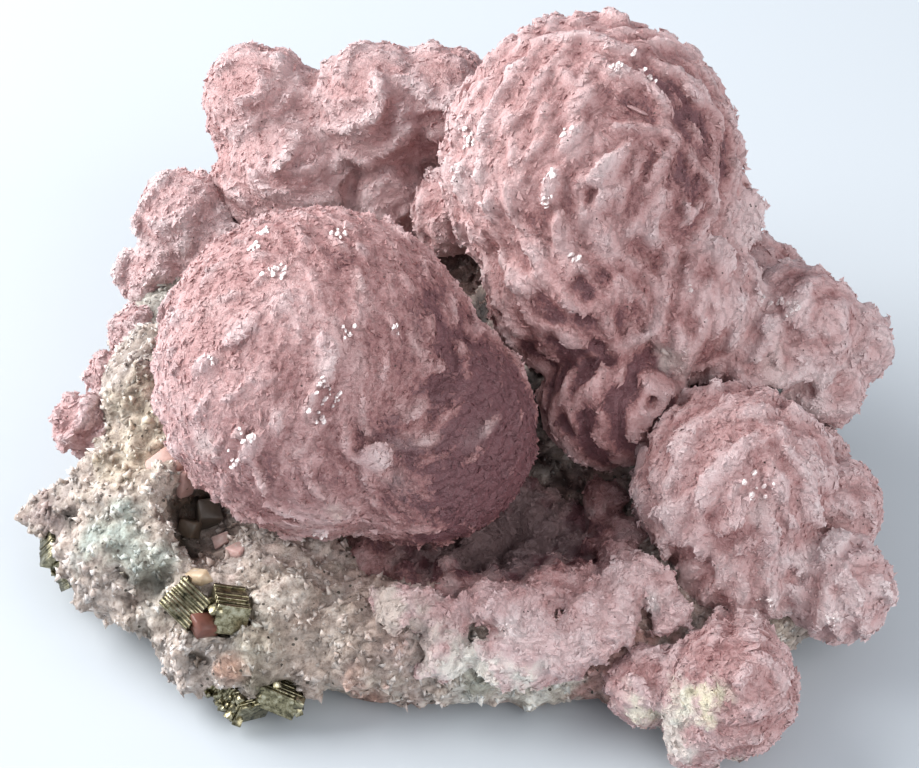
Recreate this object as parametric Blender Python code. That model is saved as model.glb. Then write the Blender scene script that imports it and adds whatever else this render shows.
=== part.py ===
"""A cabinet specimen of rhodochrosite: rosettes of pink blades on a plate of quartz rock with pyrite.

+Z is up and the plate's flat broken underside rests on Z = 0. +X runs along the long side and -Y is the
front, where a low rim closes a hollow lined with small blades. Positions and lengths are in millimetres
in the tables below and become metres where a shape is made.
"""

import math
import random

import bmesh
import bpy
from mathutils import Matrix, Vector, noise

MM = 0.001
GAP = 0.3  # clear space between pieces that bear on each other
ORIGIN_SHIFT = Vector((0.3, -2.9, 0.0))  # brings the middle of the underside to the origin

# The rock: centre and radii of the lumps that merge into one plate.
ROCK_LUMPS = (
    ((0, 4, 4.5), (30, 27, 6.5)),  # the plate itself
    ((-25, -6, 6), (9.5, 10.5, 7.5)),  # left shoulder
    ((-33.9, -4.4, 6.2), (4.6, 3.2, 2.9)),  # pointed left tip
    ((-25.5, 5, 8), (6.5, 10, 9)),  # wall that holds the front rosette
    ((-24, 15, 8), (8, 8.5, 7.5)),
    ((-17, -16, 4.8), (9.5, 7, 5.6)),
    ((-6, -18.6, 4.4), (9, 4.9, 5.2)),  # front rim, left to right
    ((5, -18.2, 4.4), (8, 4.7, 5.0)),
    ((15, -17.0, 4.2), (8, 5.9, 5.2)),
    ((19, -21.5, 3.0), (5, 5, 3.6)),
    ((12, 10, 8), (16, 14, 10)),  # mound under the tall rosettes
    ((24, -6, 4.6), (9, 13, 6.0)),
    ((26, 10, 7), (8, 9, 8)),
    ((-9, 26, 8), (14, 8, 8.5)),  # mound under the rear rosettes
    ((9, 24, 6), (13, 9, 8)),
)
# Hollows cut into the rock: centre and radii.
ROCK_HOLLOWS = (
    ((2.5, -8.5, 9.0), (12.0, 7.8, 6.6)),  # the druse-lined hollow behind the rim
    ((-20.5, -10.0, 12.0), (4.6, 4.4, 5.0)),  # the dark pit beside the front rosette
)
ROCK_VOXEL = 1.1
ROCK_ROUGHNESS = ((0.9, 0.14), (0.5, 0.38))  # height and waves per millimetre of each layer of relief
ROCK_BLOCKS = 6.0  # width of the blocks that the rock breaks into
BLOCK_RELIEF = 2.4
ROCK_TRIANGLES = 1650

# Each rosette: its lobes as centre and radius, the pole that its blades circle, their radius and pitch.
ROSETTES = {
    "front_rosette": {
        "lobes": (((-11.7, -3.6, 22.0), 14.4), ((-3.5, -6.9, 19.0), 10.6)),
        "pole": (-0.57, -0.41, 0.71),
        "blade": 5.0,
        "pitch": 4.0,
        "triangles": 1120,
        "seed": 22,
    },
    "top_rosette": {
        "lobes": (
            ((11.3, 14.0, 30.0), 13.5),
            ((19.0, 10.2, 26.8), 5.7),
            ((10.4, 5.9, 24.0), 9.1),
            ((18.7, 5.4, 22.0), 7.6),
            ((13.0, -0.9, 17.0), 6.9),
            ((24.6, 3.8, 18.0), 6.0),
            ((29.0, 5.6, 19.4), 5.9),
            ((33.4, 6.0, 16.8), 4.6),
            ((31.4, 2.8, 14.6), 4.0),
            ((-0.4, 19.6, 20.4), 4.6),
            ((17.0, 20.0, 20.0), 9.5),
            ((25.0, 14.5, 15.0), 6.5),
        ),
        "pole": (0.54, -0.68, 0.48),
        "blade": 4.6,
        "pitch": 4.2,
        "triangles": 1600,
        "seed": 22,
    },
    "right_rosette": {
        "lobes": (
            ((22.9, -8.7, 14.0), 9.1),
            ((31.4, -8.0, 10.8), 4.9),
            ((31.6, -14.8, 8.0), 5.1),
            ((29.4, -1.6, 9.0), 4.6),
            ((23.6, -12.8, 9.2), 6.3),
        ),
        "pole": (0.63, -0.64, 0.44),
        "blade": 4.0,
        "pitch": 3.8,
        "triangles": 640,
        "seed": 2,
    },
    "corner_rosette": {
        "lobes": (
            ((21.8, -25.1, 6.7), 6.1),
            ((15.3, -23.4, 5.4), 3.9),
            ((19.3, -27.6, 4.2), 3.3),
            ((22.5, -19.8, 5.4), 4.4),
        ),
        "pole": (0.3, -0.6, 0.74),
        "blade": 3.2,
        "pitch": 3.2,
        "triangles": 340,
        "seed": 3,
    },
    "back_rosette": {
        "lobes": (
            ((-17.9, 31.2, 23.6), 6.0),
            ((-7.6, 29.6, 23.8), 7.0),
            ((-1.6, 29.6, 24.4), 6.2),
            ((-12.8, 30.2, 22.0), 6.0),
            ((-15.4, 27.4, 18.4), 7.7),
            ((-6.3, 25.9, 17.6), 5.6),
            ((4.5, 29.0, 14.5), 6.5),
        ),
        "pole": (-0.2, -0.5, 0.84),
        "blade": 3.6,
        "pitch": 4.0,
        "triangles": 860,
        "seed": 4,
    },
    "side_rosette": {
        "lobes": (((-24.9, 23.8, 15.8), 5.3), ((-27.3, 19.4, 12.8), 4.0), ((-21.8, 20.4, 14.4), 4.0)),
        "pole": (-0.5, -0.3, 0.81),
        "blade": 2.9,
        "pitch": 3.2,
        "triangles": 250,
        "seed": 5,
    },
    "edge_rosette": {
        "lobes": (((-32.6, 2.6, 10.4), 3.2), ((-30.4, 7.4, 11.4), 2.9), ((-28.6, 12.4, 12.2), 3.0)),
        "pole": (-0.7, 0.1, 0.7),
        "blade": 2.3,
        "pitch": 2.9,
        "triangles": 230,
        "seed": 6,
    },
}
HEART_DEPTH = 0.55  # how far the solid heart of a lobe lies below its tips, in blade radii
RAGGEDNESS = 0.2  # how far single blades outreach their lobe, in blade radii
BLADE_SLIMNESS = 0.42  # a blade's greatest thickness over its radius
BLADE_SIDES = 7
BLADE_VOXEL = 0.4
CUTTER_VOXEL = 0.9
CUTTER_TRIANGLES = 1600
SKIN_VOXEL = 0.5
SKIN_TRIANGLES = 2200
SKIN_CLEARANCE = 0.5  # leaves at least GAP once the skin is restated in facets
BLADE_LEAN = math.radians(24)
TWIST = math.radians(55)  # how far the blades swing off their circles round the pole

# Blades that lie open and show their broad faces: centre, face direction and radius.
BROAD_BLADES = {
    "top_rosette": (
        ((21.5, 3.4, 25.0), (-0.25, -0.78, 0.57), 4.2),
        ((24.5, 9.6, 28.0), (0.35, -0.70, 0.62), 4.6),
        ((17.6, 0.2, 20.4), (-0.15, -0.75, 0.64), 2.6),
        ((26.2, 1.4, 18.6), (0.10, -0.68, 0.72), 3.4),
    ),
    "right_rosette": (
        ((31.6, -9.8, 12.6), (0.25, -0.80, 0.55), 4.2),
        ((31.8, -16.0, 9.4), (0.20, -0.84, 0.50), 4.0),
    ),
}

# The crust that lines the hollow and laps over the rim: lumps that bound it, as centre and radii.
CRUST_BOUNDS = (
    ((6.5, -7.4, 7.0), (17.5, 11.0, 8.0)),
    ((5.5, -18.6, 7.2), (12.5, 4.8, 4.6)),
    ((15.5, -16.4, 6.0), (8.0, 6.6, 5.4)),
)
CRUST_BED = 2.4  # radius of the lumps that make the bed of the crust
CRUST_FIELD = ((-10.0, 23.5), (-23.0, 3.0))  # the range of x and of y that the crust's blades are sown over
CRUST_PITCH = 3.6
CRUST_BLADE = 2.6
CRUST_TRIANGLES = 640

# Pyrite: each cube's centre, size and turn in degrees.
PYRITE = {
    "pyrite_pair": (
        ((-22.4, -18.0, 9.2), (3.4, 3.0, 3.2), (28, 24, -38)),
        ((-18.9, -18.6, 9.2), (2.9, 3.0, 2.8), (-12, 18, 8)),
        ((-20.6, -18.6, 8.0), (3.2, 2.6, 2.4), (20, -10, 20)),
    ),
    "pyrite_foot": (
        ((-17.6, -22.0, 2.4), (3.4, 3.0, 2.8), (18, 12, 30)),
        ((-14.8, -22.2, 3.2), (3.8, 2.8, 2.4), (-8, 20, -12)),
        ((-19.2, -21.0, 2.8), (2.4, 2.4, 2.2), (30, 5, 64)),
    ),
    "pyrite_tip": (
        ((-34.4, -7.0, 4.4), (2.6, 2.4, 2.4), (20, 30, 15)),
        ((-33.2, -8.4, 3.2), (2.4, 2.2, 2.4), (42, 8, 40)),
    ),
}

COLOURS = {
    "rhodochrosite": ((0.56, 0.30, 0.29, 1.0), 0.42, 0.0),
    "rock": ((0.46, 0.39, 0.36, 1.0), 0.75, 0.0),
    "pyrite": ((0.36, 0.31, 0.19, 1.0), 0.32, 1.0),
}
GOLDEN_ANGLE = math.pi * (3 - math.sqrt(5))


def clear_scene():
    for obj in list(bpy.data.objects):
        bpy.data.objects.remove(obj)


def material(name):
    found = bpy.data.materials.get(name)
    if found:
        return found
    colour, roughness, metallic = COLOURS[name]
    made = bpy.data.materials.new(name)
    made.use_nodes = True
    shader = made.node_tree.nodes["Principled BSDF"]
    shader.inputs["Base Color"].default_value = colour
    shader.inputs["Roughness"].default_value = roughness
    shader.inputs["Metallic"].default_value = metallic
    return made


def new_object(name, bm, finish=None):
    mesh = bpy.data.meshes.new(name)
    bm.to_mesh(mesh)
    bm.free()
    obj = bpy.data.objects.new(name, mesh)
    bpy.context.scene.collection.objects.link(obj)
    if finish:
        mesh.materials.append(material(finish))
    return obj


def apply_modifiers(obj):
    graph = bpy.context.evaluated_depsgraph_get()
    applied = bpy.data.meshes.new_from_object(obj.evaluated_get(graph))
    obj.modifiers.clear()
    obj.data = applied


def boolean(obj, other, operation, solver="EXACT"):
    modifier = obj.modifiers.new(operation, "BOOLEAN")
    modifier.operation = operation
    modifier.solver = solver
    modifier.object = other
    apply_modifiers(obj)


def drop(*objects):
    for obj in objects:
        bpy.data.objects.remove(obj)


def keep_largest_piece(obj):
    """Removes chips that a cut has parted from the main body."""
    bm = bmesh.new()
    bm.from_mesh(obj.data)
    unseen, pieces = set(bm.verts), []
    while unseen:
        seed = unseen.pop()
        piece, edge_of_piece = {seed}, [seed]
        while edge_of_piece:
            vert = edge_of_piece.pop()
            for edge in vert.link_edges:
                other = edge.other_vert(vert)
                if other in unseen:
                    unseen.discard(other)
                    piece.add(other)
                    edge_of_piece.append(other)
        pieces.append(piece)
    largest = max(pieces, key=len)
    bmesh.ops.delete(bm, geom=[v for v in bm.verts if v not in largest], context="VERTS")
    bm.to_mesh(obj.data)
    bm.free()


def add_lump(bm, centre, radii, subdivisions=3):
    place = Matrix.Translation(Vector(centre) * MM) @ Matrix.Diagonal((*(Vector(radii) * MM), 1.0))
    bmesh.ops.create_icosphere(bm, subdivisions=subdivisions, radius=1.0, matrix=place)


def across(normal, along):
    """The part of a direction that lies in the plane with this normal."""
    flat = along - normal * along.dot(normal)
    if flat.length < 1e-6:
        flat = normal.orthogonal()
    return flat.normalized()


def add_blade(bm, centre, face, streak, radius, rng):
    """A lens-shaped crystal: a ragged many-sided rim with a low point on each face."""
    side = face.cross(streak).normalized()
    frame = Matrix((streak, side, face)).transposed()
    rim = []
    for i in range(BLADE_SIDES):
        turn = 2 * math.pi * (i + rng.uniform(-0.22, 0.22)) / BLADE_SIDES
        reach = radius * rng.uniform(0.88, 1.06)
        rim.append(bm.verts.new(centre + frame @ Vector((math.cos(turn), math.sin(turn), 0)) * reach))
    bulge = face * radius * BLADE_SLIMNESS / 2
    for tip, ring in ((bm.verts.new(centre + bulge), rim), (bm.verts.new(centre - bulge), rim[::-1])):
        for a, b in zip(ring, ring[1:] + ring[:1]):
            bm.faces.new((a, b, tip))


def sphere_directions(count):
    """Directions spread evenly over a ball."""
    for i in range(count):
        height = 1 - 2 * (i + 0.5) / count
        ring = math.sqrt(1 - height * height)
        yield Vector((ring * math.cos(GOLDEN_ANGLE * i), ring * math.sin(GOLDEN_ANGLE * i), height))


def blade_stance(outward, pole, place):
    """The direction of a blade's edge along the ball, and the direction that its face looks."""
    streak = across(outward, pole.cross(outward))
    twist = TWIST * noise.noise(place * 0.11)
    streak = Matrix.Rotation(twist, 3, outward) @ streak
    face = streak.cross(outward)
    return streak, Matrix.Rotation(BLADE_LEAN, 3, streak) @ face


def outside_other_lobes(place, lobes, own, margin):
    return all(
        (place - Vector(centre)).length > radius - margin
        for i, (centre, radius) in enumerate(lobes)
        if i != own
    )


def blade_radius(plan, lobe_radius):
    return min(plan["blade"], lobe_radius * 0.62)


def make_rosette(name, plan):
    """A ball of blades that stand on edge, fused to the heart that they grow from."""
    rng = random.Random(plan["seed"])
    lobes, pole = plan["lobes"], Vector(plan["pole"]).normalized()
    bm = bmesh.new()
    for own, (centre, radius) in enumerate(lobes):
        size = blade_radius(plan, radius)
        add_lump(bm, centre, (radius - HEART_DEPTH * size,) * 3)
        footprint = plan["pitch"] * size * 1.45
        for outward in sphere_directions(round(4 * math.pi * radius**2 / footprint)):
            tip = Vector(centre) + outward * radius
            if not outside_other_lobes(tip, lobes, own, 0.4):
                continue
            streak, face = blade_stance(outward, pole, tip)
            grown = size * rng.uniform(0.85, 1.1)
            seat = tip - across(face, outward) * grown * rng.uniform(0.86, 1.0)
            add_blade(bm, seat * MM, face, streak, grown * MM, rng)
    for centre, face, radius in BROAD_BLADES.get(name, ()):
        face = Vector(face).normalized()
        add_blade(bm, Vector(centre) * MM, face, across(face, pole), radius * MM, rng)
    rosette = new_object(name, bm, "rhodochrosite")
    fuse(rosette, BLADE_VOXEL, plan["triangles"])
    return rosette


def fuse(obj, voxel, triangles):
    """Joins shapes that cross into one skin and restates it in a few well shaped facets."""
    remesh = obj.modifiers.new("fuse", "REMESH")
    remesh.mode = "VOXEL"
    remesh.voxel_size = voxel * MM
    apply_modifiers(obj)
    decimate = obj.modifiers.new("facets", "DECIMATE")
    decimate.ratio = min(1.0, triangles / (2 * len(obj.data.polygons)))
    apply_modifiers(obj)
    keep_largest_piece(obj)


def relief(place):
    """How far the rock stands out here: soft waves, and blocks parted by creases."""
    waves = sum(height * noise.noise(place * waves) for height, waves in ROCK_ROUGHNESS)
    nearest, second = noise.voronoi(place / ROCK_BLOCKS)[0][:2]
    return waves + BLOCK_RELIEF * (min(second - nearest, 0.5) - 0.25)


def make_rock():
    bm = bmesh.new()
    for centre, radii in ROCK_LUMPS:
        add_lump(bm, centre, radii, 4)
    rock = new_object("matrix", bm, "rock")
    remesh = rock.modifiers.new("fuse", "REMESH")
    remesh.mode = "VOXEL"
    remesh.voxel_size = ROCK_VOXEL * MM
    smooth = rock.modifiers.new("soften", "SMOOTH")
    smooth.iterations = 4
    apply_modifiers(rock)
    bm = bmesh.new()
    for centre, radii in ROCK_HOLLOWS:
        add_lump(bm, centre, radii, 4)
    hollows = new_object("rock_hollows", bm)
    boolean(rock, hollows, "DIFFERENCE")
    drop(hollows)
    remesh = rock.modifiers.new("even", "REMESH")
    remesh.mode = "VOXEL"
    remesh.voxel_size = ROCK_VOXEL * MM
    apply_modifiers(rock)
    push_out(rock, relief)
    fuse(rock, ROCK_VOXEL, ROCK_TRIANGLES)
    cut_flat(rock)
    return rock


def cut_flat(obj):
    """Trims a shape level with the surface that the specimen stands on."""
    bm = bmesh.new()
    bm.from_mesh(obj.data)
    whole = bm.verts[:] + bm.edges[:] + bm.faces[:]
    bmesh.ops.bisect_plane(bm, geom=whole, plane_co=(0, 0, 0), plane_no=(0, 0, 1), clear_inner=True)
    rim = [edge for edge in bm.edges if edge.is_boundary]
    bmesh.ops.holes_fill(bm, edges=rim)
    bmesh.ops.triangulate(bm, faces=[face for face in bm.faces if len(face.verts) > 4])
    bmesh.ops.recalc_face_normals(bm, faces=bm.faces)
    bm.to_mesh(obj.data)
    bm.free()


def push_out(obj, distance):
    bm = bmesh.new()
    bm.from_mesh(obj.data)
    bm.normal_update()
    shifts = [vert.normal * distance(vert.co / MM) * MM for vert in bm.verts]
    for vert, shift in zip(bm.verts, shifts):
        vert.co += shift
    bm.to_mesh(obj.data)
    bm.free()


def skin_over(obj, clearance):
    """A clean shell round a shape, as a cutter that leaves clear space."""
    skin = bpy.data.objects.new(obj.name + "_skin", obj.data.copy())
    bpy.context.scene.collection.objects.link(skin)
    remesh = skin.modifiers.new("even", "REMESH")
    remesh.mode = "VOXEL"
    remesh.voxel_size = SKIN_VOXEL * MM
    apply_modifiers(skin)
    push_out(skin, lambda place: clearance)
    fuse(skin, SKIN_VOXEL, SKIN_TRIANGLES)
    return skin


def press(obj, cutter):
    """Cuts a crowd of blades. The exact solver loses blades that graze one another, so this one is used."""
    boolean(obj, cutter, "DIFFERENCE", "MANIFOLD")
    keep_largest_piece(obj)


def lobe_cutter(names, by):
    """The balls of these rosettes, a little larger, which press their shape into what they meet."""
    bm = bmesh.new()
    for plan in (ROSETTES[name] for name in names):
        for centre, radius in plan["lobes"]:
            add_lump(bm, centre, (radius + RAGGEDNESS * blade_radius(plan, radius) + by,) * 3)
    cutter = new_object("lobe_cutter", bm)
    fuse(cutter, CUTTER_VOXEL, CUTTER_TRIANGLES)
    return cutter


def surface_height(obj, x, y):
    """How high a shape stands above a point of the ground, in millimetres."""
    hit, place, normal, _ = obj.ray_cast(Vector((x * MM, y * MM, 0.1)), Vector((0, 0, -1)))
    return (place.z / MM, normal) if hit else (0.0, Vector((0, 0, 1)))


def inside_lump(place, lump):
    centre, radii = lump
    return sum(((p - c) / r) ** 2 for p, c, r in zip(place, centre, radii)) < 1


def crust_blade(bm, seat, normal, rng):
    """One blade of the crust, half sunk in the rock where it grows."""
    turn = rng.uniform(0, math.pi)
    streak = across(normal, Vector((math.cos(turn), math.sin(turn), 0)))
    face = Matrix.Rotation(rng.uniform(-0.7, 0.7), 3, streak) @ streak.cross(normal)
    centre = seat + normal * CRUST_BLADE * 0.35
    add_blade(bm, centre * MM, face, streak, CRUST_BLADE * rng.uniform(0.85, 1.15) * MM, rng)


def steps_between(ends, pitch):
    low, high = ends
    count = round((high - low) / pitch)
    return [low + pitch * (i + 0.5) for i in range(count)]


def crust_seats(rock, rng):
    """Places on the rock for the crust's blades, in rough rows."""
    for x in steps_between(CRUST_FIELD[0], CRUST_PITCH):
        for y in steps_between(CRUST_FIELD[1], CRUST_PITCH * 0.8):
            x_seat, y_seat = x + rng.uniform(-1.2, 1.2), y + rng.uniform(-0.8, 0.8)
            height, normal = surface_height(rock, x_seat, y_seat)
            seat = Vector((x_seat, y_seat, height))
            if any(inside_lump(seat, lump) for lump in CRUST_BOUNDS):
                yield seat, normal


def make_crust(rock):
    """The crust of blades, on a bed of small lumps that follows the rock."""
    rng = random.Random(11)
    bm = bmesh.new()
    for seat, normal in crust_seats(rock, rng):
        add_lump(bm, seat, (CRUST_BED,) * 3, 2)
        crust_blade(bm, seat, normal, rng)
    crust = new_object("front_druse", bm, "rhodochrosite")
    fuse(crust, BLADE_VOXEL, CRUST_TRIANGLES)
    return crust


def make_pyrite(name, cubes, grown_by=0.0):
    """Intergrown pyrite cubes."""
    margin = Vector((2, 2, 2)) * grown_by
    shapes = []
    for centre, size, turns in cubes:
        turned = Matrix.Rotation(0, 4, "X")
        for angle, axis in zip(turns, "XYZ"):
            turned = Matrix.Rotation(math.radians(angle), 4, axis) @ turned
        scale = Matrix.Diagonal((*((Vector(size) + margin) * MM), 1.0))
        place = Matrix.Translation(Vector(centre) * MM) @ turned @ scale
        bm = bmesh.new()
        bmesh.ops.create_cube(bm, size=1.0, matrix=place)
        shapes.append(new_object(name if not shapes else name + "_cube", bm, "pyrite"))
    first, *others = shapes
    for other in others:
        boolean(first, other, "UNION")
    drop(*others)
    return first


def move_to_origin(objects):
    for obj in objects:
        obj.data.transform(Matrix.Translation(ORIGIN_SHIFT * MM))


def main():
    clear_scene()
    rock = make_rock()
    rock_skin = skin_over(rock, SKIN_CLEARANCE)
    for cubes in PYRITE.values():
        pocket = make_pyrite("pocket", cubes, GAP)
        boolean(rock, pocket, "DIFFERENCE")
        keep_largest_piece(rock)
        drop(pocket)
    pyrites = [make_pyrite(name, cubes) for name, cubes in PYRITE.items()]
    rosettes = {name: make_rosette(name, plan) for name, plan in ROSETTES.items()}
    pressed = {
        "right_rosette": ("top_rosette",),
        "corner_rosette": ("right_rosette",),
        "side_rosette": ("back_rosette",),
        "back_rosette": ("top_rosette", "front_rosette"),
        "top_rosette": ("front_rosette",),
    }
    for name, rosette in rosettes.items():
        if name in pressed:
            cutter = lobe_cutter(pressed[name], GAP)
            press(rosette, cutter)
            drop(cutter)
        press(rosette, rock_skin)
    crust = make_crust(rock)
    cutter = lobe_cutter(ROSETTES, GAP)
    press(crust, cutter)
    press(crust, rock_skin)
    drop(cutter, rock_skin)
    move_to_origin([rock, crust, *rosettes.values(), *pyrites])


main()
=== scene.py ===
import math
import random

import bmesh
import bpy
import numpy
from mathutils import Euler, Matrix, Vector, kdtree, noise
from mathutils.bvhtree import BVHTree


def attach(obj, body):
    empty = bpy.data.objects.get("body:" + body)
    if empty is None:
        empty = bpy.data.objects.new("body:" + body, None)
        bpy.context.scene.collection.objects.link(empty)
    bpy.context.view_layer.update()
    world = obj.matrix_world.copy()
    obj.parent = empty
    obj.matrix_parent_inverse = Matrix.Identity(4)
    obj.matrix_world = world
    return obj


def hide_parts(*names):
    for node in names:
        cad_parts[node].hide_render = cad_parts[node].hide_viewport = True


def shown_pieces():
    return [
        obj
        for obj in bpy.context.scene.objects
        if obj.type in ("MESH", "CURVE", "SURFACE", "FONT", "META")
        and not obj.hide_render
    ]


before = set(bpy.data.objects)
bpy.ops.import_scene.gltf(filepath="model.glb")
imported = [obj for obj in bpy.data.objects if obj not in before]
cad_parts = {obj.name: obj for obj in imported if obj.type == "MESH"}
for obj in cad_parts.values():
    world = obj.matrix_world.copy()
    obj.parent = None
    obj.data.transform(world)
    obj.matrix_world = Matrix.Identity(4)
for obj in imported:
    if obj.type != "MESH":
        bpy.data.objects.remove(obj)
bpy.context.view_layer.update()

# Places below are millimetres on the stone as it was laid out, and plateMiddle moves them into the frame.
mm = 0.001
plateMiddle = Vector((0.3, -2.9, 0.0))
toFrame = Matrix.Scale(mm, 4) @ Matrix.Translation(plateMiddle)
goldenAngle = math.pi * (3 - math.sqrt(5))

# the studio comes first, because the bright cleavage faces are turned to mirror its lamp
studio = {
    "cameraRise": 42.0, "cameraDistance": 260.0, "lens": 120.0, "lookAt": (0.0, 0.5, 17.0),
    "floor": "#bfc5ca", "above": "#e8eef8", "around": "#b4bac2", "skyStrength": 0.66,
    "lampPlace": (-330.0, 100.0, 200.0), "lampSize": 420.0, "lampPower": 3.6,
    "fillPlace": (220.0, -230.0, 170.0), "fillSize": 400.0, "fillPower": 0.95,
}
cameraRise = math.radians(studio["cameraRise"])
cameraWay = Vector((0, -math.cos(cameraRise), math.sin(cameraRise)))
mirrorWay = (cameraWay + Vector(studio["lampPlace"]).normalized()).normalized()


def hexToLinear(code):
    parts = [int(code[i:i + 2], 16) / 255 for i in (1, 3, 5)]
    linear = [p / 12.92 if p <= 0.04045 else ((p + 0.055) / 1.055) ** 2.4 for p in parts]
    return (*linear, 1.0)


def addNode(tree, kind, settings=None, inputs=None):
    node = tree.nodes.new(kind)
    for name, value in (settings or {}).items():
        setattr(node, name, value)
    for name, value in (inputs or {}).items():
        if isinstance(value, bpy.types.NodeSocket):
            tree.links.new(value, node.inputs[name])
        else:
            node.inputs[name].default_value = value
    return node


def rampNode(tree, factor, stops):
    node = addNode(tree, "ShaderNodeValToRGB", None, {"Fac": factor})
    ramp = node.color_ramp
    while len(ramp.elements) < len(stops):
        ramp.elements.new(0.5)
    for element, (place, code) in zip(ramp.elements, stops):
        element.position = place
        element.color = hexToLinear(code)
    return node.outputs["Color"]


def perMetre(size):
    return 1000.0 / size  # texture scale of a pattern whose cells are this many millimetres


def noiseNode(tree, place, size, detail=3.0, roughness=0.55):
    return addNode(tree, "ShaderNodeTexNoise", None, {
        "Vector": place, "Scale": perMetre(size), "Detail": detail, "Roughness": roughness}).outputs["Fac"]


def mathNode(tree, operation, *values):
    inputs = dict(enumerate(values))
    return addNode(tree, "ShaderNodeMath", {"operation": operation}, inputs).outputs[0]


def mixNode(tree, weight, first, second, blend="MIX"):
    return addNode(tree, "ShaderNodeMix", {"data_type": "RGBA", "blend_type": blend},
                   {0: weight, 6: first, 7: second}).outputs[2]


def startMaterial(name):
    made = bpy.data.materials.new(name)
    made.use_nodes = True
    made.node_tree.nodes.clear()
    tree = made.node_tree
    place = addNode(tree, "ShaderNodeTexCoord").outputs["Object"]
    return made, tree, place


def finishMaterial(tree, inputs):
    shader = addNode(tree, "ShaderNodeBsdfPrincipled", None, inputs)
    addNode(tree, "ShaderNodeOutputMaterial", None, {"Surface": shader.outputs["BSDF"]})


# Rhodochrosite grown as crowded blades: milky pink that light enters. Its colour is painted by height, with
# painted shade making the valleys darker and redder and painted light making the thin crests pale. The sugary
# skin keeps its gloss soft, and soot-dark specks sit in it.
bladeLook = {
    "depth": "#70464a", "valley": "#9c6b69", "slope": "#c09593", "body": "#d3b2b1", "crest": "#e6d1d0",
    "patchSize": 4.5, "mottleSize": 1.1, "grainSize": 0.3, "contrast": 0.55, "darkening": -0.67,
    "speck": "#54413c", "speckSize": 1.4, "speckShare": 0.06, "relief": 0.26,
}


def bladeFinish(name, look):
    made, tree, place = startMaterial(name)
    crest = addNode(tree, "ShaderNodeAttribute", {"attribute_name": "crest"}).outputs["Fac"]
    stainAndShading = addNode(tree, "ShaderNodeAttribute", {"attribute_name": "stainAndShading"})
    ruled = addNode(tree, "ShaderNodeAttribute", {"attribute_name": "ruled"}).outputs["Vector"]
    patches = noiseNode(tree, place, look["patchSize"])
    mottle = noiseNode(tree, place, look["mottleSize"], 4.0, 0.6)
    grain = noiseNode(tree, place, look["grainSize"], 3.0, 0.75)
    rules = addNode(tree, "ShaderNodeTexNoise", None, {
        "Vector": ruled, "Scale": 1.0, "Detail": 3.0, "Roughness": 0.6}).outputs["Fac"]
    lifted = mathNode(tree, "MULTIPLY_ADD", mottle, 0.7, crest)
    spread = mathNode(tree, "MULTIPLY_ADD", patches, 1.1, lifted)
    streaked = mathNode(tree, "MULTIPLY_ADD", rules, 0.5, spread)
    speckled = mathNode(tree, "MULTIPLY_ADD", grain, 0.8, streaked)
    tone = mathNode(tree, "MULTIPLY_ADD", speckled, look["contrast"], look["darkening"])
    # the ramp turns the height tone into colour: painted shade deep in the valleys, painted light on the
    # crests
    colour = rampNode(tree, tone, [
        (0.0, look["depth"]), (0.12, look["valley"]), (0.32, look["slope"]), (0.6, look["body"]),
        (1.0, look["crest"])])
    stainedAndShaded = mixNode(tree, stainAndShading.outputs["Alpha"], colour, stainAndShading.outputs["Color"])
    dots = addNode(tree, "ShaderNodeTexVoronoi", None,
                   {"Vector": place, "Scale": perMetre(look["speckSize"])}).outputs["Distance"]
    isDot = mathNode(tree, "LESS_THAN", dots, look["speckShare"])
    dotted = mixNode(tree, isDot, stainedAndShaded, hexToLinear(look["speck"]))
    height = mathNode(tree, "MULTIPLY_ADD", rules, 0.35, grain)
    bump = addNode(tree, "ShaderNodeBump", None, {
        "Height": height, "Strength": 1.0, "Distance": look["relief"] * mm})
    gloss = addNode(tree, "ShaderNodeMapRange", None, {"Value": mottle, "To Min": 0.34, "To Max": 0.6})
    finishMaterial(tree, {
        "Base Color": dotted, "Roughness": gloss.outputs[0], "IOR": 1.6,
        "Subsurface Weight": 0.12, "Subsurface Scale": 0.6 * mm, "Subsurface Radius": (1.0, 0.85, 0.82),
        "Normal": bump.outputs["Normal"]})
    return made


# Vein quartz with altered host rock: dull, sugary and chalk-pale, its zones painted on the mesh together with
# painted shade in its cracks, its hollow and the crevices under the rosettes, with dark mineral grains and a
# few clear grains that catch the light.
stoneLook = {
    "mottleSize": 2.2, "grainSize": 0.45, "dustSize": 0.22, "relief": 0.25,
    "dark": "#4b443b", "speckSize": 1.1, "speckShare": 0.19,
}


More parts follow.
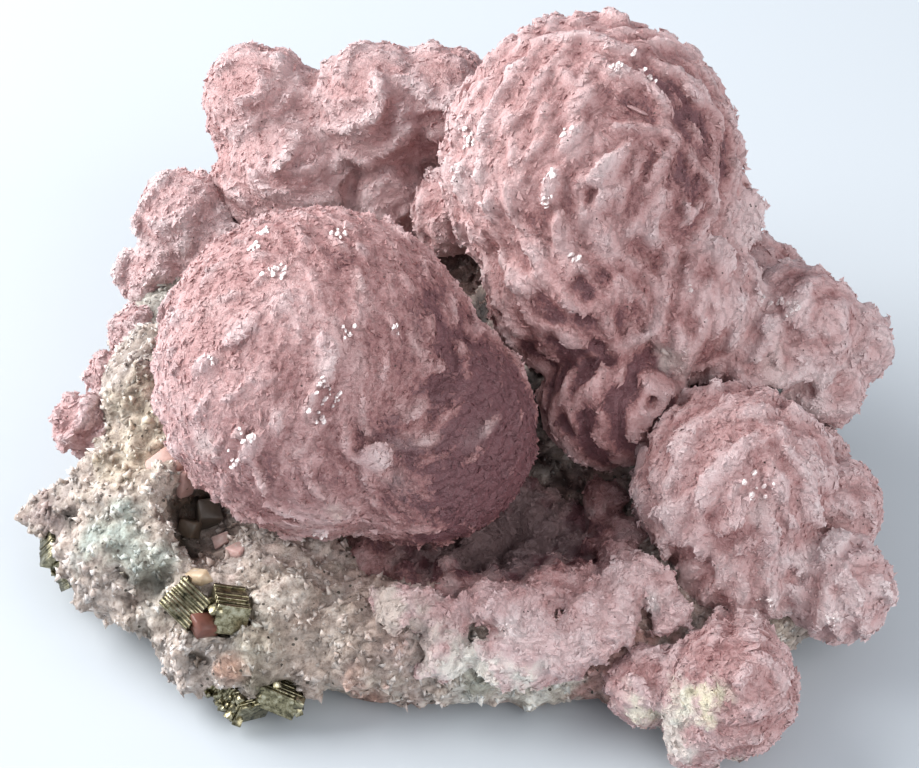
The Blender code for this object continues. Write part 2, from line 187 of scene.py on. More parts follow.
def stoneFinish(name, look, gloss):
    made, tree, place = startMaterial(name)
    paint = addNode(tree, "ShaderNodeAttribute", {"attribute_name": "stainAndShading"}).outputs["Color"]
    mottle = noiseNode(tree, place, look["mottleSize"], 5.0, 0.65)
    grain = noiseNode(tree, place, look["grainSize"], 3.0, 0.7)
    dust = noiseNode(tree, place, look["dustSize"], 2.0, 0.6)
    shade = rampNode(tree, mottle, [(0.32, "#9d9087"), (0.48, "#e9e4df"), (0.62, "#ffffff")])
    shaded = mixNode(tree, 0.85, paint, shade, "MULTIPLY")
    sugar = rampNode(tree, grain, [(0.34, "#94877e"), (0.48, "#e6e0db"), (0.62, "#ffffff")])
    sugared = mixNode(tree, 0.7, shaded, sugar, "MULTIPLY")
    dots = addNode(tree, "ShaderNodeTexVoronoi", None,
                   {"Vector": place, "Scale": perMetre(look["speckSize"])}).outputs["Distance"]
    ragged = mathNode(tree, "MULTIPLY_ADD", dust, 0.12, dots)
    isDot = mathNode(tree, "LESS_THAN", ragged, look["speckShare"])
    dotted = mixNode(tree, isDot, sugared, hexToLinear(look["dark"]))
    height = mathNode(tree, "MULTIPLY_ADD", dust, 0.4, grain)
    bump = addNode(tree, "ShaderNodeBump", None, {
        "Height": height, "Strength": 0.8, "Distance": look["relief"] * mm})
    finishMaterial(tree, {
        "Base Color": dotted, "Roughness": gloss, "IOR": 1.54,
        "Subsurface Weight": 0.15, "Subsurface Scale": 0.6 * mm, "Subsurface Radius": (1.0, 0.92, 0.86),
        "Normal": bump.outputs["Normal"]})
    return made


# Single clear crystals, painted each in its own colour: glassy faces over a body that light sinks into.
def clearFinish(name):
    made, tree, place = startMaterial(name)
    paint = addNode(tree, "ShaderNodeAttribute", {"attribute_name": "stainAndShading"}).outputs["Color"]
    cloud = noiseNode(tree, place, 0.9, 4.0, 0.6)
    shade = rampNode(tree, cloud, [(0.3, "#c9bdb6"), (0.65, "#ffffff")])
    scratch = noiseNode(tree, place, 0.25, 2.0)
    bump = addNode(tree, "ShaderNodeBump", None, {"Height": scratch, "Strength": 0.3, "Distance": 0.05 * mm})
    finishMaterial(tree, {
        "Base Color": mixNode(tree, 0.8, paint, shade, "MULTIPLY"), "Roughness": 0.42, "IOR": 1.5,
        "Subsurface Weight": 0.5, "Subsurface Scale": 0.7 * mm, "Subsurface Radius": (1.0, 0.9, 0.84),
        "Normal": bump.outputs["Normal"]})
    return made


# Fresh cleavage on a blade: pearly and nearly mirror-smooth, so it flashes white towards the lamp.
def cleavageFinish(name):
    made, tree, place = startMaterial(name)
    pearl = rampNode(tree, noiseNode(tree, place, 0.5), [(0.3, "#d9bab8"), (0.7, "#f4e6e3")])
    finishMaterial(tree, {
        "Base Color": pearl, "Roughness": 0.12, "IOR": 1.85,
        "Subsurface Weight": 0.3, "Subsurface Scale": 0.5 * mm, "Subsurface Radius": (1.0, 0.8, 0.8)})
    return made


# Pyrite: pale brass with a greenish tarnish in its hollows and bright, finely ruled faces.
pyriteLook = {"bright": "#bdb8a0", "brass": "#8b8469", "tarnish": "#3b3a30"}


def pyriteFinish(name, look):
    made, tree, place = startMaterial(name)
    bands = noiseNode(tree, place, 0.55, 4.0, 0.7)
    grain = noiseNode(tree, place, 0.12, 2.0)
    colour = rampNode(tree, bands, [(0.34, look["tarnish"]), (0.5, look["brass"]), (0.68, look["bright"])])
    gloss = addNode(tree, "ShaderNodeMapRange", None, {"Value": bands, "To Min": 0.42, "To Max": 0.16})
    bump = addNode(tree, "ShaderNodeBump", None, {"Height": grain, "Strength": 0.35, "Distance": 0.04 * mm})
    finishMaterial(tree, {
        "Base Color": colour, "Metallic": 1.0, "Roughness": gloss.outputs[0],
        "Normal": bump.outputs["Normal"]})
    return made


pinkBlades = bladeFinish("rhodochrosite, crowded sugary blades", bladeLook)
veinStone = stoneFinish("vein quartz and altered rock, granular", stoneLook, 0.72)
clearCrystal = clearFinish("quartz and carbonate crystals, clear faces")
pearlFace = cleavageFinish("rhodochrosite cleavage face, pearly")
brassPyrite = pyriteFinish("pyrite, ruled and tarnished", pyriteLook)


def shapeOf(bm):
    bmesh.ops.triangulate(bm, faces=bm.faces[:])
    bm.verts.index_update()
    corners = numpy.array([v.co for v in bm.verts])
    faces = numpy.array([[v.index for v in f.verts] for f in bm.faces])
    bm.free()
    return corners, faces


def emptyHeap():
    return {"corners": [], "faces": [], "count": 0, "seats": []}


def addShape(heap, shape, place):
    corners, faces = shape
    turned = corners @ numpy.array(place.to_3x3()).T + numpy.array(place.translation)
    heap["corners"].append(turned)
    heap["faces"].append(faces + heap["count"])
    heap["count"] += len(corners)


def heapMesh(name, heap):
    mesh = bpy.data.meshes.new(name)
    corners = numpy.concatenate(heap["corners"])
    faces = numpy.concatenate(heap["faces"])
    mesh.vertices.add(len(corners))
    mesh.vertices.foreach_set("co", corners.ravel())
    mesh.loops.add(faces.size)
    mesh.loops.foreach_set("vertex_index", faces.ravel())
    mesh.polygons.add(len(faces))
    mesh.polygons.foreach_set("loop_start", numpy.arange(len(faces)) * 3)
    mesh.update(calc_edges=True)
    return mesh


def meshShape(mesh):
    corners = numpy.empty(len(mesh.vertices) * 3)
    mesh.vertices.foreach_get("co", corners)
    mesh.calc_loop_triangles()
    faces = numpy.empty(len(mesh.loop_triangles) * 3, dtype=numpy.int64)
    mesh.loop_triangles.foreach_get("vertices", faces)
    return corners.reshape(-1, 3), faces.reshape(-1, 3)


def fuseMesh(name, heap, voxel):
    mesh = heapMesh(name, heap)
    holder = bpy.data.objects.new(name, mesh)
    bpy.context.scene.collection.objects.link(holder)
    remesh = holder.modifiers.new("fuse", "REMESH")
    remesh.mode = "VOXEL"
    remesh.voxel_size = voxel
    graph = bpy.context.evaluated_depsgraph_get()
    fused = bpy.data.meshes.new_from_object(holder.evaluated_get(graph))
    bpy.data.objects.remove(holder)
    bpy.data.meshes.remove(mesh)
    return fused


def readPlaces(mesh):
    places = numpy.empty(len(mesh.vertices) * 3)
    normals = numpy.empty(len(mesh.vertices) * 3)
    mesh.vertices.foreach_get("co", places)
    mesh.vertices.foreach_get("normal", normals)
    return places.reshape(-1, 3), normals.reshape(-1, 3)


def writePlaces(mesh, places):
    mesh.vertices.foreach_set("co", places.ravel())
    mesh.update()


def noiseOver(places, layers):
    heights = numpy.zeros(len(places))
    for depth, size in layers:
        heights += depth * numpy.array([noise.noise(Vector(p)) for p in places / size])
    return heights


def paintMesh(mesh, colours):
    mesh.attributes.new("stainAndShading", "FLOAT_COLOR", "POINT").data.foreach_set("color", colours.ravel())


# blends listed colours in by distance: real stains, and painted shade or painted light where a list puts it
def blendStainsAndShading(places, colours, weights, stainsAndShading, ragged):
    for centre, radius, code, strength in stainsAndShading:
        away = numpy.linalg.norm(places - numpy.array(centre), axis=1) / radius
        weight = strength * numpy.clip(1.6 - 1.5 * away + ragged, 0.0, 1.0)
        colours += weight[:, None] * (numpy.array(hexToLinear(code)[:3]) - colours)
        weights[:] = numpy.maximum(weights, weight)


def makePiece(name, mesh, finish, slot, *nodes):
    mesh.materials.clear()
    mesh.materials.append(finish)
    mesh.transform(toFrame)
    piece = bpy.data.objects.new(name, mesh)
    bpy.context.scene.collection.objects.link(piece)
    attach(piece, "root")
    if nodes:
        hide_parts(*nodes)
    print("piece", name, len(mesh.polygons), "faces")
    return piece


def sphereDirections(count):
    for i in range(count):
        height = 1 - 2 * (i + 0.5) / count
        ring = math.sqrt(1 - height * height)
        yield Vector((ring * math.cos(goldenAngle * i), ring * math.sin(goldenAngle * i), height))


def across(normal, along):  # the part of a direction that lies in the surface
    flat = along - normal * along.dot(normal)
    return flat.normalized() if flat.length > 1e-6 else normal.orthogonal().normalized()


def lensShape(rng, around, jag, fullness):  # a blade: a flat lens with a toothed rim
    bm = bmesh.new()
    bmesh.ops.create_uvsphere(bm, u_segments=around, v_segments=5, radius=1.0)
    teeth = [rng.uniform(-jag, 0.4 * jag) for i in range(around)]
    for vert in bm.verts:
        turn = math.atan2(vert.co.y, vert.co.x) / math.tau * around
        reach = math.hypot(vert.co.x, vert.co.y)
        tooth = 1 + teeth[round(turn) % around] * min(1.0, reach)
        vert.co.x *= tooth
        vert.co.y *= tooth
        vert.co.z = math.copysign(max(0.0, 1 - min(1.0, reach) ** fullness), vert.co.z)
    return shapeOf(bm)


def heartShape():
    bm = bmesh.new()
    bmesh.ops.create_icosphere(bm, subdivisions=4, radius=1.0)
    return shapeOf(bm)


def shardShape(rng):  # a splinter with four faces, turned any way
    bm = bmesh.new()
    bmesh.ops.create_cone(bm, cap_ends=True, segments=3, radius1=0.72, radius2=0.0, depth=1.1)
    turn = Euler([rng.uniform(0, math.tau) for axis in range(3)]).to_matrix()
    for vert in bm.verts:
        vert.co = turn @ (vert.co * rng.uniform(0.7, 1.2))
    return shapeOf(bm)


shapeRng = random.Random(5)
bladeKinds = [lensShape(shapeRng, 16, 0.2, 3.0) for i in range(12)]
petalKinds = [lensShape(shapeRng, 13, 0.34, 3.0) for i in range(10)]
shardKinds = [shardShape(shapeRng) for i in range(40)]
roundHeart = heartShape()

# places where cleavage faces flash, with the spread of each cluster in mm
flashes = [
    ((-16.8, -2.8, 35.5), 0.9), ((-14.6, -6.4, 35.8), 1.1), ((-9.6, -1.7, 36.1), 0.7),
    ((-15.9, -0.4, 35.4), 0.7), ((-10.1, -15.6, 29.8), 0.9), ((-10.9, -15.0, 30.8), 0.6),
    ((-11.1, -16.4, 28.5), 0.6),
    ((-16.9, -16.2, 26.6), 0.8), ((-18.6, -16.2, 23.3), 0.7), ((-11.3, -16.1, 14.9), 0.9),
    ((-19.8, -11.9, 30.5), 0.6), ((-8.6, -11.6, 33.6), 0.5), ((-4.9, -10.5, 32.7), 0.5),
    ((12.7, 10.6, 43.0), 0.8), ((14.8, 12.4, 42.9), 0.7), ((16.0, 10.9, 42.3), 0.7), ((8.0, 5.9, 40.3), 0.6),
    ((7.3, 3.6, 37.6), 0.9), ((7.0, 2.2, 35.0), 0.8), ((9.4, 0.5, 31.2), 0.6), ((-0.1, 10.2, 36.1), 1.2),
    ((26.1, 3.3, 24.0), 0.9), ((27.7, 2.4, 24.2), 1.0), ((19.2, 0.4, 27.7), 0.6),
    ((24.1, -15.5, 19.9), 0.9), ((24.9, -18.9, 10.2), 0.9), ((30.7, -19.7, 9.2), 1.0),
    ((23.5, -14.7, 20.8), 0.6),
    ((3.7, -20.9, 9.9), 0.9), ((15.6, -18.5, 9.6), 0.9),
]


def addLens(heap, kind, seat, streak, face, size, rng):
    side = face.cross(streak).normalized()
    stance = Matrix((streak, side, face)).transposed().to_4x4()
    spin = Matrix.Rotation(rng.uniform(0, math.tau), 4, "Z")
    grown = Matrix.Diagonal((size[0] / 2, size[1] / 2, size[2] / 2, 1.0))
    addShape(heap, kind, Matrix.Translation(seat) @ stance @ grown @ spin)


def streakField(hints, pole, place, outward):  # the way that blades run at a place, with no front or back
    u = across(outward, Vector((1, 0, 0)))
    v = outward.cross(u)
    turned = Matrix.Rotation(1.3 * noise.noise(place * 0.12), 3, outward)
    swirl = turned @ across(outward, pole.cross(outward))
    total = Vector((0, 0))
    for hintPlace, along in hints:
        weight = math.exp(-((place - hintPlace).length / hintReach) ** 2)
        flat = along - outward * along.dot(outward)
        angle = 2 * math.atan2(flat.dot(v), flat.dot(u))
        total += weight * Vector((math.cos(angle), math.sin(angle)))
    angle = 2 * math.atan2(swirl.dot(v), swirl.dot(u))
    total += 0.12 * Vector((math.cos(angle), math.sin(angle)))  # the swirl rules only far from the hints
    half = math.atan2(total.y, total.x) / 2
    return (u * math.cos(half) + v * math.sin(half)).normalized()


def clearOfOthers(place, lobes, own, margin):
    return all((place - Vector(c)).length > r - margin for i, (c, r) in enumerate(lobes) if i != own)


hintReach = 4.5  # a streak hint fades over this many mm


def scatterOnLobes(plan, long, spacing, rng, margin):
    hints = [(Vector(place), Vector(way)) for place, way in plan.get("streaks", [])]
    pole = Vector(plan["pole"]).normalized()
    for own, (centre, radius) in enumerate(plan["lobes"]):
        reach = min(long, radius * 0.8)
        count = round(4 * math.pi * radius ** 2 / (reach * spacing))
        for outward in sphereDirections(count):
            jitter = Vector((rng.gauss(0, 1), rng.gauss(0, 1), rng.gauss(0, 1))) * 0.35 / radius
            outward = (outward + jitter).normalized()
            tip = Vector(centre) + outward * (radius - plan["inset"])
            if not clearOfOthers(tip, plan["lobes"], own, plan["inset"] + margin):
                continue
            streak = streakField(hints, pole, tip, outward)
            streak = Matrix.Rotation(rng.gauss(0, plan["disorder"]), 3, outward) @ streak
            yield tip, outward, streak, reach


def bladeDepth(full, reach):
    return full * min(1.0, reach / 4.5)  # a blade shorter than 4.5 mm is shallower too


def growBlades(plan, heap, rng):
    proud = plan["proud"]
    for centre, radius in plan["lobes"]:
        heart = radius - plan["inset"] - proud - 0.2
        addShape(heap, roundHeart, Matrix.Translation(centre) @ Matrix.Scale(heart, 4))
    seats = scatterOnLobes(plan, plan["length"], plan["spacing"], rng, plan["overlap"])
    for tip, outward, streak, reach in seats:
        lean = plan["lean"] * noise.noise(tip * 0.17 + Vector((9, 0, 0))) + rng.gauss(0, 0.13)
        face = Matrix.Rotation(lean, 3, streak) @ streak.cross(outward)
        deep = bladeDepth(3.2, reach)
        size = (reach * rng.uniform(0.75, 1.25), deep, plan["thick"] * rng.uniform(0.8, 1.3))
        crest = rng.uniform(-1.0, 0.0) * proud + plan["heave"] * (noise.noise(tip * 0.35) - 0.3)
        seat = tip + outward * crest - across(face, outward) * deep / 2
        addLens(heap, rng.choice(bladeKinds), seat, streak, face, size, rng)
        heap["seats"].append((tip, streak, outward.cross(streak), rng.uniform(0, 90)))


ruleAlong, ruleAcross = 0.35, 2.4  # the rules on a blade are long one way and close together the other


def ruleBlades(places, seats):
    near = kdtree.KDTree(len(seats))
    for i, (tip, streak, side, phase) in enumerate(seats):
        near.insert(tip, i)
    near.balance()
    ruled = numpy.empty((len(places), 3))
    for v, place in enumerate(places):
        best = None
        for tip, i, away in near.find_n(place, 5):
            offset = Vector(place) - tip
            along, aside = offset.dot(seats[i][1]), offset.dot(seats[i][2])
            worth = (along * 0.22) ** 2 + aside ** 2
            if best is None or worth < best[0]:
                best = (worth, along * ruleAlong, aside * ruleAcross, seats[i][3])
        ruled[v] = best[1:]
    return ruled


def growRidges(plan, heap, rng):
    ridges = plan["ridges"]
    seats = scatterOnLobes(plan, ridges["length"], ridges["spacing"], rng, plan["overlap"])
    for tip, outward, streak, reach in seats:
        face = Matrix.Rotation(rng.gauss(0, 0.45), 3, streak) @ streak.cross(outward)
        deep = bladeDepth(3.0, reach)
        size = (reach * rng.uniform(0.7, 1.2), deep, ridges["thick"] * rng.uniform(0.7, 1.3))
        seat = tip + outward * rng.uniform(0.0, ridges["proud"]) - across(face, outward) * deep / 2
        addLens(heap, rng.choice(bladeKinds), seat, streak, face, size, rng)


def addPetal(cover, rng, seat, streak, face, size):
    shape = rng.choice(petalKinds)
    addLens(cover, shape, seat, streak, face, size, rng)
    reach = numpy.hypot(shape[0][:, 0], shape[0][:, 1])
    phase = rng.uniform(0, 90)
    # the tone rises towards each petal's rim: painted light on its edges
    cover["crest"].append(0.4 + 0.3 * reach + rng.gauss(0, 0.07))
    cover["ruled"].append(numpy.column_stack([
        shape[0][:, 0] * size[0] * 0.2, shape[0][:, 1] * size[1] * 1.1, numpy.full(len(reach), phase)]))


def growPetals(plan, heap, cover, rng):  # tilted plates, most of them fused to the ball and a few left crisp
    petals = plan["petals"]
    low, high = petals["radius"]
    bare = [(Vector(c), r) for c, r in petals.get("bare", [])]
    for tip, outward, streak, reach in scatterOnLobes(plan, 4.0, petals["spacing"], rng, 0.2):
        if any((tip - c).length < r for c, r in bare):
            continue
        radius = rng.uniform(low, high)
        lean = rng.choice((-1, 1)) * math.radians(rng.uniform(*petals["lean"]))
        face = Matrix.Rotation(lean, 3, streak) @ outward
        sunk = radius * abs(math.sin(lean)) * rng.uniform(0.35, 0.75)
        seat, size = tip - outward * sunk, (2.4 * radius, 1.6 * radius, petals["thick"])
        if rng.random() < petals["crisp"]:
            addPetal(cover, rng, seat, streak, face, (size[0] * 0.7, size[1] * 0.7, 0.35))
        else:
            addLens(heap, rng.choice(petalKinds), seat, streak, face, size, rng)
    for centre, face, radius, thick in plan.get("broad", []):
        face = Vector(face).normalized()
        addLens(heap, rng.choice(petalKinds), Vector(centre), across(face, Vector((1, 0, 0))), face,
                (2.1 * radius, 1.8 * radius, thick), rng)


shardSize = {"wide": (0.3, 0.6), "deep": (0.18, 0.34)}


def growShards(plan, cover, places, ups, seats, values):  # splinters laid along the blades, not fused
    shards = plan["shards"]
    dice = numpy.random.default_rng(plan["seed"])
    count = shards["count"]
    picked = dice.integers(0, len(places), count)
    near = kdtree.KDTree(len(seats))
    for i, seat in enumerate(seats):
        near.insert(seat[0], i)
    near.balance()
    up = ups[picked]
    along = numpy.array([seats[near.find(place)[1]][1] for place in places[picked]])
    along -= up * numpy.sum(along * up, axis=1)[:, None]
    along /= numpy.maximum(numpy.linalg.norm(along, axis=1), 1e-6)[:, None]
    angle = dice.normal(0, shards["turn"], count)[:, None]
    along = along * numpy.cos(angle) + numpy.cross(up, along) * numpy.sin(angle)
    side = numpy.cross(up, along)
    size = dice.uniform(0.0, 1.0, count) ** 1.8
    low, high = shards["long"]
    long = low + (high - low) * size
    wide, deep = [dice.uniform(*shardSize[way], count) for way in ("wide", "deep")]
    sizes = numpy.column_stack([long, wide, deep])
    rise = dice.uniform(*shards["rise"], count)
    shapes = numpy.array([shape[0] for shape in shardKinds])
    chosen = dice.integers(0, len(shardKinds), count)
    kinds = shapes[chosen]
    faces = numpy.array([shape[1] for shape in shardKinds])[chosen]
    axes = numpy.stack([along, side, up], axis=1)
    corners = numpy.einsum("nvi,nij->nvj", kinds * sizes[:, None], axes)
    corners += (places[picked] + ups[picked] * (rise - 0.3 * sizes[:, 2])[:, None])[:, None]
    cover["corners"].append(corners.reshape(-1, 3))
    cover["faces"].append((faces + 4 * numpy.arange(count)[:, None, None]).reshape(-1, 3) + cover["count"])
    cover["count"] += 4 * count
    crest, ruled, stainAndShading = values
    # each shard's top is painted paler than its foot, painted light on its tip, with a random tone added
    lift = 0.12 * kinds[:, :, 2] + dice.normal(0, shards["tone"], count)[:, None]
    cover["crest"].append((crest[picked][:, None] + lift).ravel())
    cover["ruled"].append(numpy.repeat(ruled[picked], 4, axis=0))
    return numpy.repeat(stainAndShading[picked], 4, axis=0)


# adds painted light and painted shade round the listed places, lighter or darker by how light falls there
def paintLightAndShade(places, lightAndShade):
    lift = numpy.zeros(len(places))
    for centre, radius, amount in lightAndShade:
        away = numpy.linalg.norm(places - numpy.array(centre), axis=1) / radius
        lift += amount * numpy.exp(-away ** 2)
    return lift


def paintStreaks(places, colours, weights, hints, code, strength):
    for place, along in hints:
        offset = places - numpy.array(place)
        ahead = offset @ numpy.array(Vector(along).normalized())
        aside = numpy.linalg.norm(offset, axis=1) ** 2 - ahead ** 2
        weight = strength * numpy.exp(-(ahead / 2.2) ** 2 - aside / 0.45)
        colours += weight[:, None] * (numpy.array(hexToLinear(code)[:3]) - colours)
        weights[:] = numpy.maximum(weights, weight)


def coverMesh(name, base, shape, cover, values):
    mesh = heapMesh(name, {"corners": [shape[0], *cover["corners"]],
                           "faces": [shape[1], *[f + len(shape[0]) for f in cover["faces"]]]})
    crest, ruled, stainAndShading = values
    mesh.attributes.new("crest", "FLOAT", "POINT").data.foreach_set(
        "value", numpy.clip(numpy.concatenate([crest, *cover["crest"]]), -0.6, 1.6))
    mesh.attributes.new("ruled", "FLOAT_VECTOR", "POINT").data.foreach_set(
        "vector", numpy.concatenate([ruled, *cover["ruled"]]).ravel())
    paintMesh(mesh, stainAndShading)
    smooth = numpy.zeros(len(mesh.polygons), dtype=bool)
    smooth[:len(shape[1])] = True
    mesh.polygons.foreach_set("use_smooth", smooth)
    mesh.update()
    bpy.data.meshes.remove(base)
    return mesh


def stainAndShadingOver(places, plan):
    colours = numpy.tile(hexToLinear("#e6d0cd")[:3], (len(places), 1))
    weights = numpy.zeros(len(places))
    ragged = noiseOver(places, [(0.9, 1.6), (0.5, 0.6)])
    # pale lines painted along the listed streaks are painted light on the blade crests
    if "paleStreaks" in plan:
        paintStreaks(places, colours, weights, plan["streaks"], "#efd9d7", plan["paleStreaks"])
    # a pale patch is painted round each place where the cleavage faces flash: a painted highlight
    pearly = [(spot, 0.5 + 0.6 * spread, "#f6e2e2", 0.6) for spot, spread in flashes]
    blendStainsAndShading(places, colours, weights, pearly + plan.get("stainsAndShading", []), ragged)
    return numpy.column_stack([colours, weights])


def coverPiece(name, plan, node, base, skin, cover, seats, values):
    crest, ruled, stainAndShading = values
    stainsAndShading = [stainAndShading]
    if cover["corners"]:
        petals = numpy.concatenate(cover["corners"])
        cover["crest"] = [numpy.concatenate(cover["crest"]) + paintLightAndShade(petals, plan["lightAndShade"])]
        stainsAndShading.append(stainAndShadingOver(petals, plan))
    stainsAndShading.append(growShards(plan, cover, *skin, seats, values))
    painted = (crest, ruled, numpy.concatenate(stainsAndShading))
    mesh = coverMesh(name, base, (skin[0], meshShape(base)[1]), cover, painted)
    return makePiece(name, mesh, pinkBlades, "rhodochrosite", node)


def emptyCover():
    return {**emptyHeap(), "crest": [], "ruled": []}


def dressRosette(name, plan, node):
    rng = random.Random(plan["seed"])
    heap = emptyHeap()
    cover = emptyCover()
    growBlades(plan, heap, rng)
    growRidges(plan, heap, rng)
    growPetals(plan, heap, cover, rng)
    base = fuseMesh(name, heap, plan["voxel"])
    places, normals = readPlaces(base)
    centres = numpy.array([c for c, r in plan["lobes"]])
    reaches = numpy.array([r - plan["inset"] for c, r in plan["lobes"]])
    aways = numpy.linalg.norm(places[:, None] - centres, axis=2) - reaches
    own = numpy.argmin(aways, axis=1)
    height = aways.min(axis=1)
    outward = places - centres[own]
    outward /= numpy.linalg.norm(outward, axis=1)[:, None]
    calm = plan["calm"] * numpy.clip(0.5 + 1.4 * noiseOver(places, [(1.0, 6.0)]), 0.0, 1.0)  # 6 mm patches
    places -= outward * (numpy.clip(height + 0.25, -0.8, 1.2) * calm)[:, None]
    skin = noiseOver(places, [(plan["sugar"], 0.9), (plan["sugar"], 0.45)])  # sugary
    places += normals * skin[:, None]
    # the tone rises with height above the ball: painted shade in the valleys, painted light on the crests
    crest = numpy.clip(0.6 + 0.95 * height * (1 - 0.6 * calm), 0.0, 1.0) + paintLightAndShade(places, plan["lightAndShade"])
    ruled = ruleBlades(places, heap["seats"])
    stainAndShading = stainAndShadingOver(places, plan)
    return coverPiece(name, plan, node, base, (places, normals), cover, heap["seats"], (crest, ruled, stainAndShading))


# A rosette's plan, in mm. Lobes are centres and radii, and pole is the way that its blades turn about.
# Length, thick and spacing size the blades. Proud, heave and inset set how far they stand, lean how far they
# tip over, and overlap how far those of touching lobes cross. Calm wears the relief down in soft patches,
# the light and shade lists lift or darken the colour round a place as painted light and painted shade, and
# streaks give the way that blades run there.
usualBlades = {"proud": 0.5, "lean": 0.6, "heave": 0.5, "disorder": 0.3, "sugar": 0.14}
frontRosette = {
    "lobes": [((-11.7, -3.6, 22.0), 14.4), ((-3.5, -6.9, 19.0), 10.6)],
    "pole": (-0.57, -0.41, 0.71),
    "length": 5.2, "thick": 0.8, "spacing": 0.62, "proud": 0.4, "lean": 0.35, "heave": 0.35,
    "disorder": 0.27, "sugar": 0.13, "voxel": 0.30, "seed": 3, "calm": 0.55,
    "inset": 0.4, "overlap": 0.4,
    "ridges": {"length": 4.4, "spacing": 3.6, "thick": 0.95, "proud": 0.3},
    "petals": {"spacing": 30.0, "radius": (0.7, 1.2), "thick": 0.5, "lean": (15, 40), "crisp": 0.2},
    "shards": {"count": 15000, "long": (0.3, 0.85), "rise": (-0.08, 0.09), "turn": 0.4, "tone": 0.06},
    "lightAndShade": [((3.0, -12.0, 23.0), 8.5, -0.65), ((3.0, -13.0, 15.0), 8.5, -0.7),
              ((-2.0, -4.0, 34.0), 6.5, -0.3), ((-24.0, -8.0, 26.0), 8.0, 0.25)],
    "paleStreaks": 0.75,
    "streaks": [
        ((-7.5, -8.0, 35.0), (0.52, -0.74, -0.42)), ((-2.9, -9.9, 31.5), (0.09, -0.79, -0.61)),
        ((-9.2, -12.1, 33.4), (0.34, -0.72, -0.61)), ((-7.8, -13.1, 32.1), (0.17, -0.68, -0.71)),
        ((-10.7, -14.3, 31.5), (0.57, 0.57, 0.58)), ((-14.4, -16.1, 28.7), (0.57, 0.29, 0.77)),
        ((-11.7, -16.3, 28.7), (0.25, 0.45, 0.86)), ((-13.2, -17.5, 25.3), (0.81, 0.05, 0.58)),
        ((-7.4, -16.2, 27.4), (0.52, -0.18, -0.83)), ((-3.3, -15.5, 25.1), (0.98, 0.12, 0.13)),
        ((-3.9, -14.4, 27.5), (0.79, 0.61, 0.07)), ((-17.1, -16.1, 26.6), (0.43, 0.14, 0.89)),
        ((-20.0, -7.9, 33.0), (0.74, 0.22, 0.64)), ((-15.8, -17.4, 22.0), (0.28, -0.08, -0.96)),
        ((-12.9, -16.6, 16.0), (0.92, -0.23, 0.32)), ((-10.6, -17.9, 21.1), (0.68, 0.10, -0.73)),
        ((-5.8, -16.7, 23.6), (0.38, 0.06, -0.93)), ((1.9, -14.1, 24.7), (0.66, 0.70, 0.26))],
    "stainsAndShading": [((-9.5, -17.6, 18.5), 1.6, "#d8ccb4", 0.45), ((-20.5, -14.0, 23.5), 1.5, "#dcc9c4", 0.5)],
}
